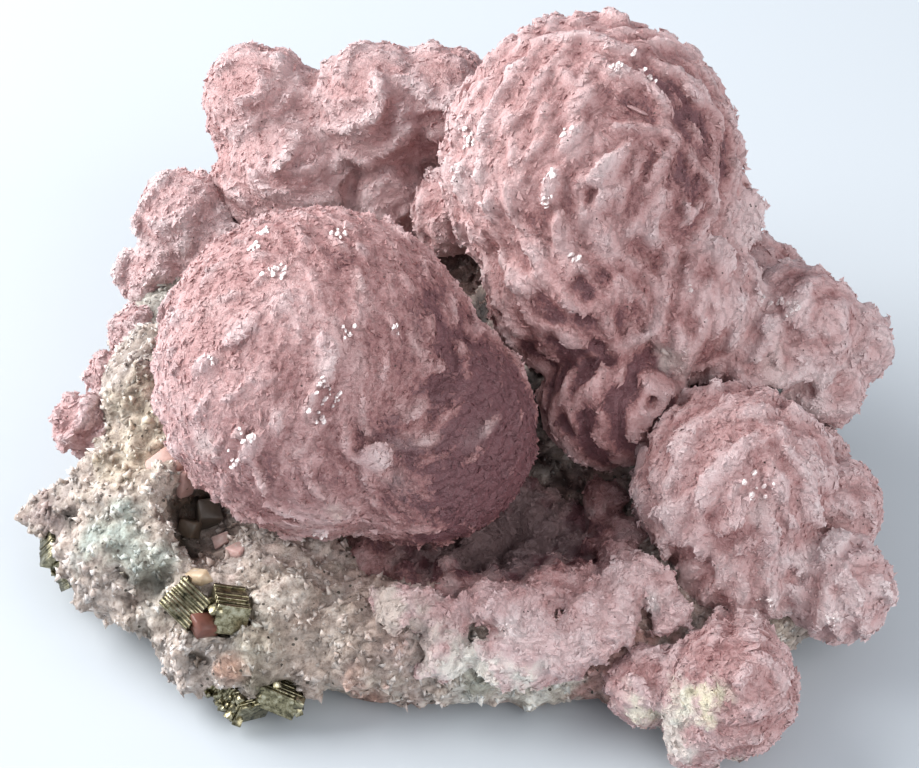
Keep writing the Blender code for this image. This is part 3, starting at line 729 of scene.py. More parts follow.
topRosette = {
    **usualBlades,
    "lobes": [
        ((11.3, 14.0, 30.0), 13.5), ((19.0, 10.2, 26.8), 5.7), ((10.4, 5.9, 24.0), 9.1),
        ((18.7, 5.4, 22.0), 7.6), ((13.0, -0.9, 17.0), 6.9), ((24.6, 3.8, 18.0), 6.0),
        ((29.0, 5.6, 19.4), 5.9), ((33.4, 6.0, 16.8), 4.6), ((31.4, 2.8, 14.6), 4.0),
        ((-0.4, 19.6, 20.4), 4.6), ((17.0, 20.0, 20.0), 9.5), ((25.0, 14.5, 15.0), 6.5)],
    "pole": (0.54, -0.68, 0.48),
    "length": 4.8, "thick": 0.9, "spacing": 0.75, "sugar": 0.12,
    "voxel": 0.37, "seed": 4, "calm": 0.15, "inset": 0.6, "overlap": 1.3,
    "ridges": {"length": 4.0, "spacing": 2.6, "thick": 1.1, "proud": 0.6},
    "petals": {"spacing": 4.6, "radius": (1.2, 2.5), "thick": 0.8, "lean": (20, 60), "crisp": 0.12,
               "bare": [((7.0, 10.0, 36.0), 8.0), ((2.0, 6.0, 28.0), 6.0)]},
    "shards": {"count": 12000, "long": (0.3, 0.95), "rise": (-0.08, 0.1), "turn": 0.35, "tone": 0.06},
    "lightAndShade": [((-0.5, 8.0, 33.0), 7.0, 0.55), ((12.0, -3.0, 18.0), 6.5, -0.75),
              ((9.0, 0.0, 28.0), 6.0, -0.35), ((20.0, 8.0, 38.0), 6.0, -0.4), ((31.0, 2.0, 19.0), 7.0, 0.25)],
    "broad": [
        ((20.7, 3.6, 27.6), (-0.25, -0.78, 0.57), 3.1, 1.0),
        ((22.9, 8.2, 28.4), (0.25, -0.70, 0.66), 3.8, 1.2),
        ((27.6, 0.3, 19.0), (0.05, -0.75, 0.66), 2.4, 0.9),
        ((30.2, 1.4, 18.8), (0.25, -0.72, 0.64), 2.2, 0.9),
        ((22.9, 1.4, 24.6), (0.80, -0.52, 0.30), 2.6, 0.8),
        ((34.6, 3.8, 18.8), (0.3, -0.8, 0.5), 2.8, 0.9)],
    "streaks": [
        ((2.0, 12.0, 39.6), (0.42, 0.72, 0.55)), ((1.3, 10.6, 38.4), (0.49, 0.43, 0.76)),
        ((4.9, 6.9, 39.5), (0.34, 0.63, 0.70)), ((10.3, 4.3, 39.4), (0.57, 0.54, 0.62)),
        ((15.6, 8.3, 41.4), (0.49, -0.69, -0.53)), ((15.1, 6.0, 40.2), (0.96, 0.21, -0.19)),
        ((15.0, 3.8, 38.0), (0.91, 0.40, 0.08)), ((12.7, 2.2, 36.5), (0.49, 0.46, 0.74)),
        ((13.7, 1.9, 35.6), (0.25, 0.45, 0.86)), ((9.9, 1.7, 35.4), (0.16, 0.38, 0.91)),
        ((19.3, 6.9, 38.3), (0.42, -0.46, -0.79)), ((20.9, 9.6, 38.4), (0.49, -0.41, -0.77)),
        ((9.4, -0.7, 30.2), (0.34, -0.67, -0.66)), ((6.8, 0.4, 30.3), (0.25, -0.80, -0.55)),
        ((4.4, 0.7, 28.5), (0.46, -0.82, -0.34)), ((12.8, -0.4, 30.1), (0.50, -0.49, -0.71)),
        ((14.0, 1.1, 32.8), (0.87, 0.07, -0.49)), ((22.7, 0.4, 26.2), (0.17, 0.71, 0.68)),
        ((25.2, 17.1, 23.8), (0.49, 0.36, -0.79))],
    "stainsAndShading": [((18.0, -0.9, 21.6), 1.9, "#cdbcb6", 0.8), ((26.4, 0.2, 19.6), 2.2, "#d3bcb9", 0.6)],
}
rightRosette = {
    **usualBlades,
    "lobes": [((22.9, -8.7, 14.0), 9.1), ((31.4, -8.0, 10.8), 4.9), ((31.6, -14.8, 8.0), 5.1),
              ((29.4, -1.6, 9.0), 4.6), ((23.6, -12.8, 9.2), 6.3)],
    "pole": (0.63, -0.64, 0.44),
    "length": 4.6, "thick": 0.95, "spacing": 0.85, "heave": 0.6, "sugar": 0.12,
    "voxel": 0.34, "seed": 5, "calm": 0.15, "inset": 0.5, "overlap": 1.2,
    "ridges": {"length": 4.0, "spacing": 3.0, "thick": 1.1, "proud": 0.5},
    "petals": {"spacing": 4.8, "radius": (1.2, 2.4), "thick": 0.8, "lean": (20, 60), "crisp": 0.12},
    "shards": {"count": 9000, "long": (0.3, 0.9), "rise": (-0.08, 0.1), "turn": 0.4, "tone": 0.06},
    "lightAndShade": [((31.0, -17.0, 9.0), 7.0, 0.5), ((20.0, -13.0, 18.0), 8.0, 0.2)],
    "broad": [((31.6, -9.8, 12.6), (0.25, -0.80, 0.55), 3.8, 1.3),
              ((31.8, -16.0, 9.4), (0.20, -0.84, 0.50), 3.8, 1.3)],
    "streaks": [
        ((18.6, -12.2, 21.2), (0.64, 0.47, 0.60)), ((21.1, -10.3, 22.8), (0.73, 0.63, 0.26)),
        ((22.5, -14.4, 21.1), (0.26, 0.75, 0.61)), ((24.2, -16.8, 17.9), (0.08, 0.44, 0.89)),
        ((19.4, -16.4, 17.4), (0.45, 0.19, 0.87)), ((27.5, -14.1, 19.7), (0.49, -0.40, -0.77)),
        ((30.3, -13.9, 15.0), (0.40, 0.41, -0.82)), ((18.0, -16.3, 12.8), (0.19, -0.28, 0.94)),
        ((22.8, -18.6, 11.6), (0.47, 0.29, 0.84)), ((27.1, -18.0, 9.8), (0.44, 0.19, -0.88))],
    "stainsAndShading": [((31.0, -19.0, 9.4), 2.2, "#ead9da", 0.6), ((25.0, -18.8, 10.4), 1.4, "#ecd9da", 0.6),
               ((24.5, -16.0, 18.0), 1.5, "#e2cdcc", 0.5)],
}
cornerRosette = {
    **usualBlades,
    "lobes": [((21.8, -25.1, 6.7), 6.1), ((15.3, -23.4, 5.4), 3.9), ((19.3, -27.6, 4.2), 3.3),
              ((22.5, -19.8, 5.4), 4.4)],
    "pole": (0.3, -0.6, 0.74),
    "length": 3.8, "thick": 0.9, "spacing": 0.85,
    "voxel": 0.32, "seed": 6, "calm": 0.30, "inset": 0.4, "overlap": 1.0,
    "ridges": {"length": 3.2, "spacing": 3.0, "thick": 0.9, "proud": 0.4},
    "petals": {"spacing": 4.0, "radius": (1.0, 1.8), "thick": 0.7, "lean": (25, 60), "crisp": 0.15},
    "shards": {"count": 4500, "long": (0.3, 0.9), "rise": (-0.06, 0.1), "turn": 0.6, "tone": 0.07},
    "lightAndShade": [((20.0, -26.0, 8.0), 7.0, 0.15)],
    "stainsAndShading": [((18.4, -27.9, 8.0), 2.6, "#f3eedb", 0.95), ((15.0, -25.8, 5.6), 2.2, "#f1ead6", 0.9),
               ((20.2, -28.6, 9.2), 1.9, "#efe6c6", 0.9), ((17.6, -28.6, 4.6), 2.4, "#e9e4da", 0.8),
               ((18.9, -27.6, 9.0), 0.8, "#b7a87c", 0.8), ((22.0, -29.0, 3.0), 2.0, "#b5b2a4", 0.7)],
}
backRosette = {
    **usualBlades,
    "lobes": [((-17.9, 31.2, 23.6), 6.0), ((-7.6, 29.6, 23.8), 7.0), ((-1.6, 29.6, 24.4), 6.2),
              ((-12.8, 30.2, 22.0), 6.0), ((-15.4, 27.4, 18.4), 7.7), ((-6.3, 25.9, 17.6), 5.6),
              ((4.5, 29.0, 14.5), 6.5)],
    "pole": (-0.2, -0.5, 0.84),
    "length": 4.4, "thick": 1.0, "spacing": 0.95, "heave": 0.6,
    "voxel": 0.40, "seed": 7, "calm": 0.35, "inset": 0.4, "overlap": 1.3,
    "ridges": {"length": 3.8, "spacing": 3.2, "thick": 1.0, "proud": 0.4},
    "petals": {"spacing": 6.0, "radius": (1.2, 2.1), "thick": 0.85, "lean": (25, 60), "crisp": 0.08},
    "shards": {"count": 8000, "long": (0.3, 0.9), "rise": (-0.07, 0.1), "turn": 0.5, "tone": 0.06},
    "lightAndShade": [((-10.0, 26.0, 24.0), 12.0, 0.35)],
}
sideRosette = {
    **usualBlades,
    "lobes": [((-24.9, 23.8, 15.8), 5.3), ((-27.3, 19.4, 12.8), 4.0), ((-21.8, 20.4, 14.4), 4.0)],
    "pole": (-0.5, -0.3, 0.81),
    "length": 3.4, "thick": 0.95, "spacing": 0.9, "proud": 0.45,
    "voxel": 0.36, "seed": 8, "calm": 0.30, "inset": 0.4, "overlap": 1.0,
    "ridges": {"length": 3.2, "spacing": 3.2, "thick": 0.9, "proud": 0.4},
    "petals": {"spacing": 5.0, "radius": (1.0, 1.7), "thick": 0.75, "lean": (25, 60), "crisp": 0.08},
    "shards": {"count": 3200, "long": (0.3, 0.85), "rise": (-0.07, 0.1), "turn": 0.5, "tone": 0.06},
    "lightAndShade": [((-26.0, 20.0, 16.0), 8.0, 0.5)],
}
edgeRosette = {
    **usualBlades,
    "lobes": [((-32.6, 2.6, 10.4), 3.2), ((-30.4, 7.4, 11.4), 2.9), ((-28.6, 12.4, 12.2), 3.0)],
    "pole": (-0.7, 0.1, 0.7),
    "length": 2.6, "thick": 0.9, "spacing": 0.9, "proud": 0.4, "lean": 0.7, "sugar": 0.12,
    "voxel": 0.32, "seed": 9, "calm": 0.20, "inset": 0.25, "overlap": 0.8,
    "ridges": {"length": 2.4, "spacing": 3.0, "thick": 0.8, "proud": 0.2},
    "petals": {"spacing": 3.0, "radius": (0.7, 1.2), "thick": 0.65, "lean": (15, 45), "crisp": 0.08},
    "shards": {"count": 2200, "long": (0.3, 0.9), "rise": (-0.05, 0.14), "turn": 0.6, "tone": 0.07},
    "lightAndShade": [((-31.0, 7.0, 12.0), 8.0, 0.3)],
}

rosettes = {
    "front": frontRosette, "top": topRosette, "right": rightRosette, "corner": cornerRosette,
    "back": backRosette, "side": sideRosette, "edge": edgeRosette}
for side, plan in rosettes.items():
    dressRosette(side + "RosetteBlades", plan, side + "_rosette")


def crystalShape(rng, jitter):
    bm = bmesh.new()
    bmesh.ops.create_cube(bm, size=1.0)
    for vert in bm.verts:
        vert.co += Vector((rng.uniform(-1, 1), rng.uniform(-1, 1), rng.uniform(-1, 1))) * jitter
    bmesh.ops.bevel(bm, geom=bm.edges[:], offset=0.06, offset_type="OFFSET", affect="EDGES", segments=1,
                    profile=0.5, material=-1)
    return shapeOf(bm)


crystalKinds = [crystalShape(shapeRng, 0.14) for i in range(8)]


def randomTurn(rng):
    return Euler([rng.uniform(0, math.tau) for axis in range(3)]).to_matrix().to_4x4()


def nodeShape(name):
    corners, faces = meshShape(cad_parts[name].data)
    return corners / mm - numpy.array(plateMiddle), faces


stone = {
    "voxel": 0.42, "seed": 12, "chips": 1700, "chipSize": (0.8, 2.6), "blockSize": 1.3, "blockDepth": 0.35,
    "ground": ["#efe6da", "#e3d6cd", "#d6cbc5"],
    "stainsAndShading": [
        # on this line, the dark red-brown patch at the hollow is painted shade
        ((5.0, -14.0, 6.0), 20.0, "#c29b96", 0.6), ((4.0, -8.0, 6.0), 9.0, "#71413f", 0.95),
        ((9.9, -20.5, 4.4), 8.0, "#cda19b", 0.9), ((0.0, 10.0, 8.0), 20.0, "#a8837e", 0.5),
        ((-26.0, -1.0, 14.5), 5.5, "#e4d7c3", 0.9), ((-28.7, -5.1, 12.2), 3.6, "#dfd2be", 0.9),
        ((-20.6, -11.1, 7.5), 3.0, "#b39f95", 0.8), ((-22.0, -7.2, 9.8), 3.2, "#57473b", 1.0),
        ((-29.3, -11.3, 10.6), 3.6, "#c5d0c8", 0.95), ((-25.6, -13.9, 10.3), 2.8, "#c9d2ca", 0.9),
        ((-35.5, -5.3, 7.6), 3.4, "#af9c98", 0.9), ((-33.7, -7.6, 8.8), 1.3, "#3c342c", 1.0),
        ((-28.4, -14.3, 8.9), 1.1, "#4a4034", 1.0), ((-25.7, -15.0, 8.5), 1.0, "#5d5346", 0.8),
        ((-24.4, -14.8, 9.2), 0.9, "#4f483e", 0.8), ((-23.1, -10.2, 8.4), 1.2, "#51463a", 1.0),
        ((-27.4, -15.4, 7.1), 1.3, "#7c6a60", 0.9), ((-25.8, -17.5, 4.5), 1.6, "#6c6253", 0.8),
        ((-21.7, -21.4, 6.0), 1.4, "#544738", 0.9), ((-24.0, -17.6, 7.6), 1.6, "#5b5142", 0.8),
        ((-16.4, -21.0, 7.6), 3.4, "#dfd6c6", 0.95), ((-18.6, -22.2, 6.2), 1.7, "#cf9f8c", 0.7),
        ((-16.0, -22.8, 3.4), 3.0, "#77745a", 0.95),
        ((-11.4, -20.0, 7.7), 5.5, "#cbbcb2", 0.85), ((-7.4, -22.0, 2.6), 3.2, "#dcb4a6", 0.95),
        ((1.2, -22.8, 5.0), 5.0, "#fbf8f0", 1.0), ((6.6, -22.2, 3.2), 3.8, "#faf7ee", 1.0),
        ((0.9, -23.0, 4.8), 1.8, "#a3a696", 0.7),
        # the dark patches on this line and the next two, down the crevices between the rosettes, are painted
        # shade
        ((6.2, 0.3, 14.5), 4.2, "#3c2f2d", 1.0), ((7.4, -1.6, 9.5), 3.6, "#42322f", 0.95),
        ((2.4, 5.0, 17.5), 7.5, "#42332f", 1.0), ((1.8, 12.5, 15.0), 4.8, "#42332f", 1.0),
        ((4.5, -0.5, 19.5), 4.0, "#42332f", 1.0), ((1.0, 22.3, 12.6), 6.0, "#6e4c49", 0.8),
        ((-27.5, 15.5, 14.0), 5.0, "#bdb9b1", 0.95)],
    "pits": [
        ((-33.7, -7.6, 8.8), 1.5, 1.0), ((-28.4, -14.3, 8.9), 1.0, 0.5), ((-25.7, -15.0, 8.5), 0.9, 0.5),
        ((-24.4, -14.8, 9.2), 0.9, 0.4), ((-23.1, -10.2, 8.4), 1.3, 0.8), ((-22.0, -7.6, 9.6), 2.4, 0.9),
        ((-21.7, -21.4, 6.0), 1.2, 0.7), ((-24.0, -17.6, 7.6), 1.4, 0.7)],
}


def cellHeights(places, size):  # broken blocks: low along the cracks between them
    heights = numpy.empty(len(places))
    for i, place in enumerate(places / size):
        near, second = noise.voronoi(Vector(place))[0][:2]
        heights[i] = min(1.0, (second - near) * 2.2)
    return heights


def chipSeats(shape, count, rng):  # places spread evenly over a mesh's area
    corners, faces = shape
    sides = corners[faces]
    normals = numpy.cross(sides[:, 1] - sides[:, 0], sides[:, 2] - sides[:, 0])
    areas = numpy.linalg.norm(normals, axis=1)
    picked = rng.choices(range(len(faces)), weights=areas.tolist(), k=count)
    for i in picked:
        u, v = sorted((rng.random(), rng.random()))
        place = sides[i][0] * u + sides[i][1] * (v - u) + sides[i][2] * (1 - v)
        yield Vector(place), Vector(normals[i]).normalized()


def dressStone(name, plan, node):
    rng = random.Random(plan["seed"])
    heap = emptyHeap()
    ground = nodeShape(node)
    addShape(heap, ground, Matrix.Identity(4))
    for place, normal in chipSeats(ground, plan["chips"], rng):
        if place.z > 1.2:
            size = rng.uniform(*plan["chipSize"]) * rng.uniform(0.6, 1.0)
            stretch = Matrix.Diagonal((size, size * rng.uniform(0.6, 1.0), size * rng.uniform(0.6, 1.2), 1.0))
            seat = Matrix.Translation(place - normal * size * rng.uniform(0.1, 0.35))
            addShape(heap, rng.choice(crystalKinds), seat @ randomTurn(rng) @ stretch)
    mesh = fuseMesh(name, heap, plan["voxel"])
    places, normals = readPlaces(mesh)
    blocks = plan["blockDepth"] * cellHeights(places, plan["blockSize"])
    depth = blocks - 0.3 + noiseOver(places, [(0.25, 2.5), (0.16, 0.9), (0.12, 0.5)])
    for centre, radius, sunk in plan["pits"]:
        away = numpy.linalg.norm(places - numpy.array(centre), axis=1) / radius
        depth -= sunk * numpy.clip(1.5 - away, 0.0, 1.0)
    depth *= numpy.clip(places[:, 2] / 1.5, 0.0, 1.0)  # the face it rests on stays flat
    low, middle, high = [numpy.array(hexToLinear(code)[:3]) for code in plan["ground"]]
    drift = numpy.clip(0.5 + noiseOver(places, [(0.9, 7.0)]), 0.0, 1.0)[:, None]
    colours = low + drift * (high - low) + (1 - abs(2 * drift - 1)) * (middle - low) * 0.5
    weights = numpy.zeros(len(places))
    ragged = noiseOver(places, [(0.9, 2.4), (0.5, 0.8)])
    blendStainsAndShading(places, colours, weights, plan["stainsAndShading"], ragged)
    # the stone's colour is darkened along the cracks between its blocks: painted shade
    crackShade = numpy.clip(0.58 + 1.3 * blocks, 0.45, 1.06)[:, None]
    paintMesh(mesh, numpy.column_stack([colours * crackShade, weights]))
    moved = places + normals * depth[:, None]
    moved[:, 2] = numpy.maximum(moved[:, 2], 0.0)
    writePlaces(mesh, moved)
    mesh.shade_smooth()
    return makePiece(name, mesh, veinStone, "rock", node)


stonePiece = dressStone("stoneGround", stone, "matrix")


def seatsOn(piece, count, rng, keep):
    places, normals = readPlaces(piece.data)
    places = places / mm - numpy.array(plateMiddle)
    tints = numpy.empty(len(places) * 4)
    piece.data.attributes["stainAndShading"].data.foreach_get("color", tints)
    tints = tints.reshape(-1, 4)
    found = 0
    while found < count:
        i = rng.randrange(len(places))
        place, normal = Vector(places[i]), Vector(normals[i])
        if keep(place, normal):
            found += 1
            yield place, normal, tints[i]


sugar = {"count": 12000, "size": (0.35, 1.15), "seed": 21}


def onTop(place, normal):
    return place.z > 0.6 and normal.z > -0.35


def scatterSugar(name, plan, piece):
    rng = random.Random(plan["seed"])
    heap = emptyHeap()
    tints = []
    for place, normal, tint in seatsOn(piece, plan["count"], rng, onTop):
        size = rng.uniform(*plan["size"]) * rng.uniform(0.6, 1.0)
        shape = rng.choice(shardKinds)
        stretch = Matrix.Diagonal((size, size * rng.uniform(0.5, 0.9), size * rng.uniform(0.5, 0.9), 1.0))
        addShape(heap, shape, Matrix.Translation(place - normal * size * 0.1) @ randomTurn(rng) @ stretch)
        colour = numpy.minimum(tint[:3] * rng.uniform(0.85, 1.3), 0.95)
        tints.append(numpy.tile([*colour, 1.0], (len(shape[0]), 1)))
    mesh = heapMesh(name, heap)
    paintMesh(mesh, numpy.concatenate(tints))
    return makePiece(name, mesh, clearCrystal, "rock")


scatterSugar("stoneSugar", sugar, stonePiece)

# centre, size and turn in degrees of each crystal that stands out on the stone, with its colour
loneCrystals = [
    ((-25.0, -4.6, 11.8), (3.0, 2.6, 2.4), (18, -12, 25), "#c9a79d"),
    ((-23.2, -5.0, 11.2), (2.8, 2.4, 2.2), (-8, 16, 50), "#c39f98"),
    ((-21.4, -7.0, 9.0), (2.0, 1.8, 2.1), (25, 5, 20), "#574e46"),
    ((-22.8, -8.4, 8.6), (1.4, 1.5, 1.4), (5, 30, 65), "#5f5448"),
    ((-20.9, -20.1, 9.0), (1.9, 1.7, 1.7), (20, 10, 30), "#74493d"),
    ((-21.6, -15.4, 9.8), (1.0, 1.1, 2.8), (58, 0, 40), "#c4b095"),
    ((-20.1, -8.9, 7.6), (1.3, 1.1, 0.7), (12, -20, 15), "#c9aaa3"),
    ((-18.5, -11.4, 9.0), (1.8, 1.4, 0.8), (-18, 14, 55), "#cfaea8"),
    ((18.0, 0.0, 22.0), (2.9, 1.3, 2.7), (-42, 28, 12), "#d3c2bd"),
    ((17.1, 6.1, 37.3), (0.9, 0.7, 0.7), (10, 20, 30), "#4b5350"),
    ((12.4, 10.6, 40.9), (1.3, 0.45, 0.35), (0, 5, -25), "#2b2221"),
    ((26.7, -1.0, 17.6), (0.9, 0.7, 0.8), (20, 10, 50), "#4f5654"),
    ((10.5, 8.2, 40.0), (0.4, 0.35, 0.35), (10, 30, 0), "#b0963c"),
]


def placeLoneCrystals(name, plan):
    heap = emptyHeap()
    tints = []
    for i, (centre, size, turn, code) in enumerate(plan):
        shape = crystalKinds[i % len(crystalKinds)]
        stance = Euler([math.radians(a) for a in turn]).to_matrix().to_4x4()
        addShape(heap, shape, Matrix.Translation(centre) @ stance @ Matrix.Diagonal((*size, 1.0)))
        tints.append(numpy.tile(hexToLinear(code), (len(shape[0]), 1)))
    mesh = heapMesh(name, heap)
    paintMesh(mesh, numpy.concatenate(tints))
    return makePiece(name, mesh, clearCrystal, "rock")


placeLoneCrystals("loneCrystals", loneCrystals)

druse = {
    "seed": 31, "voxel": 0.32, "gap": 1.0,
    "hollow": ((2.5, -8.5, 9.0), (12.0, 7.8, 6.6)),
    "stainsAndShading": [
        ((0.5, -23.2, 6.4), 4.4, "#f4f0e6", 0.95), ((5.0, -23.8, 4.6), 3.6, "#f3eee4", 0.9),
        ((4.2, -21.2, 9.6), 1.3, "#f0dedd", 0.8), ((15.9, -18.3, 9.6), 1.3, "#ecdfdc", 0.9),
        # on this line, the dark red-brown patch in the hollow is painted shade
        ((0.8, -23.5, 5.0), 1.6, "#a3a696", 0.6), ((2.5, -8.0, 5.5), 8.5, "#5c3838", 0.75),
        ((-3.0, -21.8, 9.0), 3.4, "#d6c9bf", 0.8), ((-6.0, -19.8, 10.5), 4.6, "#c9b9ae", 0.95)],
    "shards": {"count": 7000, "long": (0.3, 0.85), "rise": (-0.06, 0.1), "turn": 0.6, "tone": 0.07},
    # the hollow is darkened as painted shade and the rim lightened as painted light
    "lightAndShade": [((2.5, -8.0, 6.0), 9.5, -1.1), ((6.0, -21.0, 8.0), 7.0, 0.25)],
}


def druseSeats(shape, rng, gap):  # places that can be seen from above the hollow, a gap apart
    corners, faces = shape
    tree = BVHTree.FromPolygons([Vector(c) for c in corners], faces.tolist())
    low, high = corners.min(axis=0), corners.max(axis=0)
    seats = []
    for attempt in range(6000):
        way = Vector((rng.gauss(0, 0.5), rng.gauss(-0.35, 0.5), 1.0)).normalized()
        start = Vector([rng.uniform(low[axis], high[axis]) for axis in range(3)])
        place, normal, face, away = tree.ray_cast(start + way * 30, -way)
        if place is None or any((place - p).length < gap for p, n in seats):
            continue
        seats.append((place, normal if normal.dot(way) > 0 else -normal))
    return seats


def dressDruse(name, plan, node):
    rng = random.Random(plan["seed"])
    heap = emptyHeap()
    ground = nodeShape(node)
    addShape(heap, ground, Matrix.Identity(4))
    centre, reach = plan["hollow"]
    for place, normal in druseSeats(ground, rng, plan["gap"]):
        away = Vector([(p - c) / r for p, c, r in zip(place, centre, reach)]).length
        inHollow = away < 1.0 and place.z < 9.0
        streak = across(normal, Vector((rng.gauss(0, 1), rng.gauss(0, 1), rng.gauss(0, 1))))
        if inHollow and rng.random() < 0.45:
            face = Matrix.Rotation(rng.uniform(-1.0, 1.0), 3, streak) @ normal
            size = (rng.uniform(3.4, 5.6), rng.uniform(3.0, 4.6), rng.uniform(1.4, 2.4))
            addLens(heap, rng.choice(petalKinds), place + normal * 0.2, streak, face, size, rng)
        elif not inHollow:
            face = Matrix.Rotation(rng.uniform(-0.9, 0.9), 3, streak) @ streak.cross(normal)
            size = (rng.uniform(1.5, 3.4), rng.uniform(1.4, 2.6), rng.uniform(0.5, 0.9))
            addLens(heap, rng.choice(bladeKinds), place - normal * 0.35, streak, face, size, rng)
        heap["seats"].append((place, streak, normal.cross(streak), rng.uniform(0, 90)))
    base = fuseMesh(name, heap, plan["voxel"])
    places, normals = readPlaces(base)
    deep = numpy.linalg.norm((places - numpy.array(centre)) / numpy.array(reach), axis=1)
    # the tone falls towards the middle of the hollow: painted shade
    height = numpy.clip(0.25 + 0.6 * (deep - 0.8), 0.05, 0.75) + noiseOver(places, [(0.5, 1.6)])
    crest = numpy.clip(height, 0.0, 1.0) + paintLightAndShade(places, plan["lightAndShade"])
    ruled = ruleBlades(places, heap["seats"])
    stainAndShading = stainAndShadingOver(places, plan)
    places = places + normals * noiseOver(places, [(0.14, 0.8), (0.14, 0.4)])[:, None]
    values = (crest, ruled, stainAndShading)
    return coverPiece(name, plan, node, base, (places, normals), emptyCover(), heap["seats"], values)


dressDruse("hollowDruse", druse, "front_druse")

# centre, size and turn in degrees of each pyrite cube
pyritePair = [
    ((-22.4, -18.0, 9.2), (3.4, 3.0, 3.2), (28, 24, -38)),
    ((-18.9, -18.6, 9.2), (2.9, 3.0, 2.8), (-12, 18, 8)),
    ((-20.6, -18.6, 8.0), (3.2, 2.6, 2.4), (20, -10, 20))]
pyriteFoot = [
    ((-17.6, -22.0, 2.4), (3.4, 3.0, 2.8), (18, 12, 30)),
    ((-14.8, -22.2, 3.2), (3.8, 2.8, 2.4), (-8, 20, -12)),
    ((-19.2, -21.0, 2.8), (2.4, 2.4, 2.2), (30, 5, 64))]
pyriteTip = [
    ((-34.4, -7.0, 4.4), (2.6, 2.4, 2.4), (20, 30, 15)), ((-33.2, -8.4, 3.2), (2.4, 2.2, 2.4), (42, 8, 40))]


def slabShape():
    bm = bmesh.new()
    bmesh.ops.create_cube(bm, size=1.0)
    bmesh.ops.bevel(bm, geom=bm.edges[:], offset=0.02, offset_type="OFFSET", affect="EDGES", segments=1,
                    profile=0.5, material=-1)
    return shapeOf(bm)


ruledSlab = slabShape()


def turnAbout(degrees):
    turned = Matrix.Identity(4)
    for angle, axis in zip(degrees, "XYZ"):
        turned = Matrix.Rotation(math.radians(angle), 4, axis) @ turned
    return turned


def dressPyrite(name, cubes, node, crumbs, seed):
    rng = random.Random(seed)
    heap = emptyHeap()
    for centre, size, turn in cubes:
        stance = Matrix.Translation(centre) @ turnAbout(turn)
        place = -size[1] / 2
        while place < size[1] / 2:
            thick = rng.uniform(0.14, 0.42)
            waist = rng.uniform(0.90, 1.0)
            slab = Matrix.Diagonal((size[0] * waist, thick, size[2] * rng.uniform(0.9, 1.0), 1.0))
            addShape(heap, ruledSlab, stance @ Matrix.Translation((0, place + thick / 2, 0)) @ slab)
            place += thick * 0.96
        for i in range(crumbs):
            spot = Vector([rng.uniform(-0.55, 0.55) * s for s in size])
            side = rng.randrange(3)
            spot[side] = math.copysign(size[side] / 2, spot[side])
            small = Matrix.Scale(rng.uniform(0.3, 0.8), 4)
            addShape(heap, ruledSlab, stance @ Matrix.Translation(spot) @ randomTurn(rng) @ small)
    return makePiece(name, heapMesh(name, heap), brassPyrite, "pyrite", node)


dressPyrite("pyritePairCubes", pyritePair, "pyrite_pair", 3, 41)
dressPyrite("pyriteFootCubes", pyriteFoot, "pyrite_foot", 26, 42)
dressPyrite("pyriteTipCubes", pyriteTip, "pyrite_tip", 5, 43)


def flakeShape():
    bm = bmesh.new()
    bmesh.ops.create_cone(bm, segments=6, cap_ends=True, radius1=1.0, radius2=0.85, depth=0.16)
    return shapeOf(bm)


def surfaceTree():
    corners, faces, count = [], [], 0
    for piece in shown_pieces():
        if piece.name.endswith("Blades") or piece.name == "hollowDruse":
            shape = meshShape(piece.data)
            corners.append(shape[0] / mm - numpy.array(plateMiddle))
            faces.append(shape[1] + count)
            count += len(shape[0])
    return BVHTree.FromPolygons(numpy.concatenate(corners).tolist(), numpy.concatenate(faces).tolist())


flakes = {"count": 46, "scatter": 0.27, "turn": 0.10, "size": (0.12, 0.36), "seed": 51}


def placeFlashes(name, plan, spots):
    rng = random.Random(plan["seed"])
    tree = surfaceTree()
    flake = flakeShape()
    heap = emptyHeap()
    for centre, spread in spots:
        for i in range(round(plan["count"] * spread)):
            spot = Vector(centre) + Vector([rng.gauss(0, spread * plan["scatter"]) for axis in range(3)])
            seat, normal, face, away = tree.find_nearest(spot)
            tilt = mirrorWay + Vector([rng.gauss(0, plan["turn"]) for axis in range(3)])
            spin = Matrix.Rotation(rng.uniform(0, 6), 4, "Z")
            stance = tilt.to_track_quat("Z", "X").to_matrix().to_4x4() @ spin
            size = rng.uniform(*plan["size"]) * rng.uniform(0.6, 1.0)
            grown = Matrix.Diagonal((size, size * rng.uniform(0.4, 0.9), size * 0.5, 1.0))
            addShape(heap, flake, Matrix.Translation(seat + normal * 0.03) @ stance @ grown)
    return makePiece(name, heapMesh(name, heap), pearlFace, "rhodochrosite")


placeFlashes("cleavageFlashes", flakes, flashes)


def lookTowards(obj, place, target):
    obj.location = place
    obj.rotation_euler = (target - place).to_track_quat("-Z", "Y").to_euler()


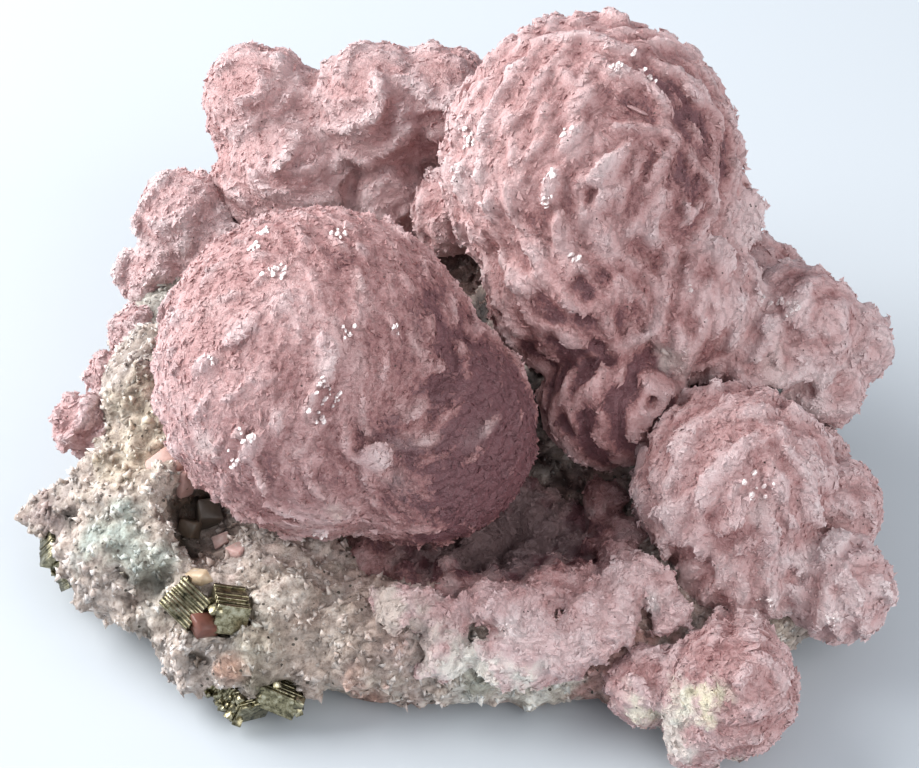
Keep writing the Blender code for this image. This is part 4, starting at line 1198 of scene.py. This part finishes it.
def makeFloor(plan):
    mesh = bpy.data.meshes.new("floor")
    bm = bmesh.new()
    bmesh.ops.create_grid(bm, x_segments=1, y_segments=1, size=3.0)
    bm.to_mesh(mesh)
    bm.free()
    floor = bpy.data.objects.new("floor", mesh)
    bpy.context.scene.collection.objects.link(floor)
    paper, tree, place = startMaterial("matt white card")
    finishMaterial(tree, {
        "Base Color": hexToLinear(plan["floor"]), "Roughness": 0.9, "Specular IOR Level": 0.2})
    mesh.materials.append(paper)


def makeLights(plan, target):
    world = bpy.data.worlds.new("soft room")
    bpy.context.scene.world = world
    world.use_nodes = True
    tree = world.node_tree
    tree.nodes.clear()
    way = addNode(tree, "ShaderNodeTexCoord").outputs["Generated"]
    height = addNode(tree, "ShaderNodeSeparateXYZ", None, {"Vector": way})
    slope = mathNode(tree, "MULTIPLY_ADD", height.outputs["Y"], 0.35, height.outputs["Z"])
    sky = rampNode(tree, slope, [(0.0, plan["around"]), (0.45, plan["above"]), (1.0, plan["above"])])
    glow = addNode(tree, "ShaderNodeBackground", None, {"Color": sky, "Strength": plan["skyStrength"]})
    addNode(tree, "ShaderNodeOutputWorld", None, {"Surface": glow.outputs["Background"]})
    for part in ("lamp", "fill"):
        light = bpy.data.lights.new(part, "AREA")
        light.shape = "DISK"
        light.size = plan[part + "Size"] * mm
        light.energy = plan[part + "Power"]
        lamp = bpy.data.objects.new(part, light)
        bpy.context.scene.collection.objects.link(lamp)
        lookTowards(lamp, target + Vector(plan[part + "Place"]) * mm, target)


def makeCamera(plan, target):
    camera = bpy.data.cameras.new("camera")
    camera.lens = plan["lens"]
    camera.sensor_width = 36.0
    camera.clip_start = 0.01
    viewer = bpy.data.objects.new("camera", camera)
    bpy.context.scene.collection.objects.link(viewer)
    lookTowards(viewer, target + cameraWay * plan["cameraDistance"] * mm, target)
    bpy.context.scene.camera = viewer


bpy.context.scene.view_settings.view_transform = "Standard"
middle = toFrame @ Vector(studio["lookAt"])
makeFloor(studio)
makeLights(studio, middle)
makeCamera(studio, middle)
print("floor, lights and camera are in place")
